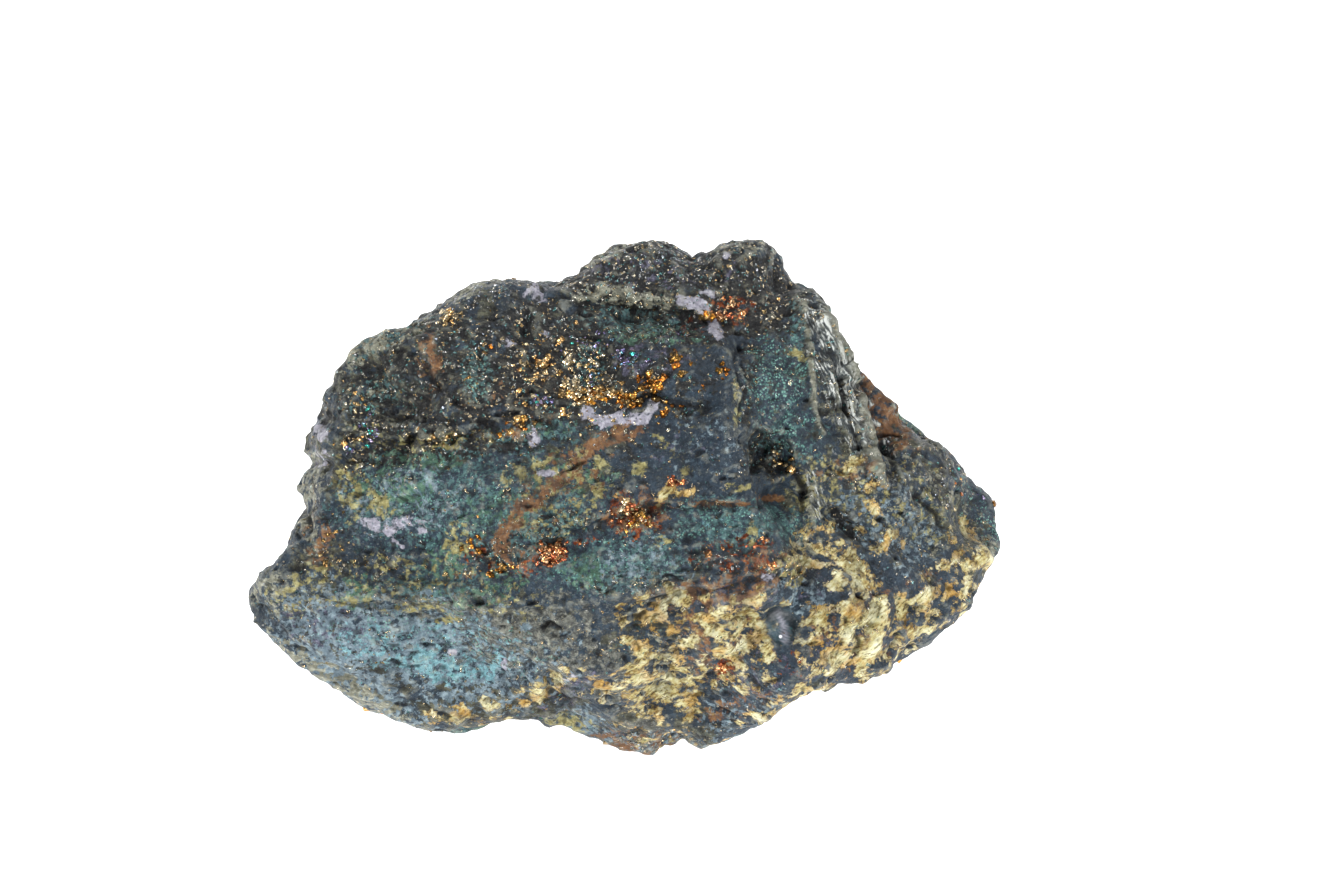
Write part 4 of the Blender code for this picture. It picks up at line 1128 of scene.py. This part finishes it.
# The ore's finish: tarnish films laid over each other, each broken into patches, with tilted grain facets
def makeOreMaterial():
    material, tree, shader = startMaterial("tarnishedSulphide")
    place = readAttribute(tree, "place", "Vector")
    values = {name: noiseAt(tree, place, *settings) for name, settings in finishNoises.items()}
    values.update({name: streaksAt(tree, place, *settings) for name, settings in finishStreaks.items()})

    def blend(one, other, share):
        rest = doMath(tree, "MULTIPLY", values[other], 1 - share)
        return doMath(tree, "MULTIPLY_ADD", values[one], share, rest)

    def level(name, value):
        return mapRange(tree, value, *finishLevels[name])

    def shades(stops):
        return [(at, seen(*colour)) for at, colour in stops]

    def film(name, reads):
        return colourRamp(tree, values[reads], shades(tarnish[name]))

    def stain(colour, mask, strength, shade):
        over = film(*shade) if shade[0] in tarnish else seen(*shade)
        return mixColour(tree, doMath(tree, "MULTIPLY", mask, strength), colour, over)

    values["mottle"] = blend("fine", "crumbs", 0.5)
    values["banded"] = blend("level", "fine", 0.5)
    values["cleaved"] = blend("strokes", "grain", 0.45)
    cells = addNode(tree, "ShaderNodeTexVoronoi", {"Vector": place, "Scale": oreFinish["cellScale"]})
    colour = film("slate", "mottle")
    sheen = oreFinish["bare"]
    covers = {}
    for number, (name, reads, size, ragged, edge, *filmSheen) in enumerate(films):
        patch = addNode(tree, "ShaderNodeGroup", {
            "Place": place, "Mask": readAttribute(tree, name), "Size": size, "Seed": 13.7 * number,
            "Ragged": ragged, "Edge": edge}, node_tree=patchGroup).outputs
        cover = covers[name] = patch["Cover"]
        if name == "dots":
            cover = doMath(tree, "MULTIPLY", cover, level("dots", cells.outputs["Distance"]))
        over = film(name, reads)
        if name == "brass":
            values["thin"] = patch["Depth"]
            for kind, (strength, shade) in brassStains.items():
                over = stain(over, level(kind, values[kind]), strength, shade)
        colour = mixColour(tree, cover, colour, over)
        sheen = mixFinish(tree, cover, sheen, filmSheen)

    # Specks, painted shade in hollows, painted highlight on raised points, cracks, ribs and the glassy chip
    most, onBrass, onBlue = oreFinish["speckShares"]
    specked = doMath(tree, "MULTIPLY_ADD", covers["brass"], onBrass, most)
    specked = doMath(tree, "MULTIPLY_ADD", covers["blue"], onBlue, specked)
    hollow, deep, crack, rib, shell, stripe, shade = (readAttribute(tree, name) for name in (
        "hollow", "deepHollow", "crack", "rib", "shell", "stripe", "shade"))
    flat = vectorMath(tree, "MULTIPLY", place, (1, 1, 0))[0]
    masks = {
        "specks": doMath(tree, "MULTIPLY", level("specks", values["specks"]), specked),
        "clouds": level("clouds", values["clouds"]),
        # painted glints: pale tiny specks
        "paintedGlints": level("paintedGlints", values["paintedGlints"]),
        # painted shade: darker in the small and the large hollows
        "hollowShade": doMath(tree, "MAXIMUM", level("hollow", hollow), level("deepHollow", deep)),
        # painted highlight: paler on raised points, in patches
        "raisedHighlight": doMath(tree, "MULTIPLY", level("raisedHighlight", hollow), level("raisedHighlightPatches", values["crumbs"])),
        "crack": level("crack", crack),
        # pale painted highlight along the rib crests
        "rib": level("rib", rib),
        "shell": shell,
        "stripe": stripe,
        # painted shade on the chip's right rim and upper left corner
        "shade": shade,
        # painted highlight: a near-white spot low in the glassy chip
        "paintedHighlight": level("paintedHighlight", vectorMath(tree, "DISTANCE", flat, oreFinish["paintedHighlightAt"])["Value"]),
    }
    for name, (strength, over) in stains.items():
        colour = stain(colour, masks[name], strength, over)
    sheen = mixFinish(tree, shell, sheen, oreFinish["shell"])

    # Grain facets: tilted cells of two sizes and fine grit
    coarse, small = (grainFacets(tree, place, *settings) for settings in oreFinish["facets"])
    grit = doMath(tree, "MULTIPLY", doMath(tree, "SUBTRACT", values["fine"], 0.5), oreFinish["grit"])
    height = doMath(tree, "ADD", doMath(tree, "ADD", coarse["Height"], small["Height"]), grit)
    showing = doMath(tree, "MULTIPLY_ADD", shell, oreFinish["shellSheer"], 1.0)
    height = doMath(tree, "MULTIPLY", height, showing)
    bump = addNode(tree, "ShaderNodeBump", {"Height": height, "Distance": mm, "Strength": 1.0}).outputs[0]

    # A few cells shine: clean sulphide grains, most of them in the dark bands
    dull, onCharcoal = oreFinish["shinyFrom"]
    wanted = doMath(tree, "MULTIPLY_ADD", covers["charcoal"], onCharcoal, dull)
    shine = level("shine", doMath(tree, "SUBTRACT", small["Number"], wanted))
    shineColour = colourRamp(tree, small["Hue"], shades(oreFinish["shinyColours"]))
    colour = mixColour(tree, doMath(tree, "MULTIPLY", shine, oreFinish["shinyShare"]), colour, shineColour)
    metal, rough = mixFinish(tree, shine, sheen, oreFinish["shiny"])
    for name, value in (("Base Color", colour), ("Metallic", metal), ("Roughness", rough), ("Normal", bump)):
        tree.links.new(value, shader[name])
    shader["Specular IOR Level"].default_value = oreFinish["specular"]
    print("ore material:", len(films), "films,", len(stains), "stains")
    return material


crystalFinish = {
    "dull": (0.35, 3.0, 0.6),  # noise of the thin tarnish: (size, detail, roughness)
    "dullLevels": (0.45, 0.7),
    "dullColour": (70, 56, 36),
    "dullShare": 0.6,
    "roughness": (0.2, 0.45),  # clean and dull
    "facets": (0.2, 0.25),  # (size, tilt)
    "bump": 0.7,
    "metallic": 0.92,
}


# The loose-looking crystals: clean metal with a thin tarnish and fine facets
def makeGrainMaterial():
    material, tree, shader = startMaterial("brightCrystal")
    place = addNode(tree, "ShaderNodeTexCoord").outputs["Object"]
    place = addNode(tree, "ShaderNodeVectorMath", {0: place, 3: 1 / mm}, operation="SCALE").outputs[0]
    own = readAttribute(tree, "grainColour", "Color")
    dull = mapRange(tree, noiseAt(tree, place, *crystalFinish["dull"]), *crystalFinish["dullLevels"])
    share = doMath(tree, "MULTIPLY", dull, crystalFinish["dullShare"])
    height = grainFacets(tree, place, *crystalFinish["facets"])["Height"]
    inputs = {"Height": height, "Distance": mm, "Strength": crystalFinish["bump"]}
    bump = addNode(tree, "ShaderNodeBump", inputs).outputs[0]
    colour = mixColour(tree, share, own, seen(*crystalFinish["dullColour"]))
    tree.links.new(colour, shader["Base Color"])
    tree.links.new(mixValue(tree, dull, *crystalFinish["roughness"]), shader["Roughness"])
    tree.links.new(bump, shader["Normal"])
    shader["Metallic"].default_value = crystalFinish["metallic"]
    print("crystal material ready")
    return material


oreSurface, *skinRows = makeSurface()
oreSurface.data.materials.append(makeOreMaterial())
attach(oreSurface, "root")
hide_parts("ore_lump")

grainMaterial = makeGrainMaterial()
for number, (kind, field) in enumerate(grainFields.items()):
    grains = makeGrains(kind + "Crystals", field, *skinRows, 11 + number)
    grains.data.materials.append(grainMaterial)
    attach(grains, "root")

studio = {
    "sky": ((0.90, 0.96, 1.03, 1.0), 0.285),  # (colour, strength)
    "floorColour": (0.93, 0.93, 0.93, 1.0),
    "floorRoughness": 0.9,
    "floorGlow": 0.75,
    "floorReach": 1.5,  # metres from its middle to its sides
    "floorHeight": -0.00005,
    # softboxes: (place in metres, size, watts)
    "lamps": [
        ((-0.45, 0.04, 0.49), 0.16, 5.3), ((0.10, -0.55, 0.20), 0.30, 5.2), ((0.2, 0.50, 0.35), 0.30, 1.7),
        ((0.48, 0.02, 0.22), 0.30, 1.1),
    ],
    "lampTarget": (0, 0, 0.02),
    "sensorWidth": 36.0,
}


# A pale room, a plain pale floor a hair under the lump, and soft lamps that all face the lump
def makeStudio():
    world = bpy.data.worlds.new("paleRoom")
    bpy.context.scene.world = world
    world.use_nodes = True
    back = world.node_tree.nodes["Background"].inputs
    back["Color"].default_value, back["Strength"].default_value = studio["sky"]
    reach = studio["floorReach"]
    corners = np.array([(x, y, studio["floorHeight"]) for x, y in (
        (-reach, -reach), (reach, -reach), (reach, reach), (-reach, reach))])
    floor = makeMesh("floor", corners, np.array([(0, 1, 2, 3)]))
    material, _, shader = startMaterial("paleFloor")
    shader["Base Color"].default_value = studio["floorColour"]
    shader["Roughness"].default_value = studio["floorRoughness"]
    shader["Emission Color"].default_value = (1, 1, 1, 1)
    shader["Emission Strength"].default_value = studio["floorGlow"]
    floor.data.materials.append(material)
    for number, (place, size, watts) in enumerate(studio["lamps"]):
        light = bpy.data.lights.new("softbox" + str(number), "AREA")
        light.size = size
        light.energy = watts
        lamp = bpy.data.objects.new("softbox" + str(number), light)
        lamp.location = place
        facing = Vector(studio["lampTarget"]) - Vector(place)
        lamp.rotation_euler = facing.to_track_quat("-Z", "Y").to_euler()
        bpy.context.scene.collection.objects.link(lamp)


# The eye: as far and as high as in view, facing the lump's middle
def makeCamera():
    camera = bpy.data.cameras.new("eye")
    camera.sensor_width = studio["sensorWidth"]
    camera.lens = studio["sensorWidth"] * view["distance"] / view["frameWidth"]
    camera.shift_x, camera.shift_y = view["shift"]
    camera.clip_start = 0.01
    eye = bpy.data.objects.new("eye", camera)
    away = Vector((0, -math.cos(view["elevation"]), math.sin(view["elevation"])))
    eye.location = Vector((0, 0, view["middleHeight"] * mm)) + away * view["distance"] * mm
    eye.rotation_euler = (math.radians(90) - view["elevation"], 0, 0)
    bpy.context.scene.collection.objects.link(eye)
    bpy.context.scene.camera = eye


makeStudio()
makeCamera()
bpy.context.scene.view_settings.view_transform = "Standard"
print("studio and camera ready")
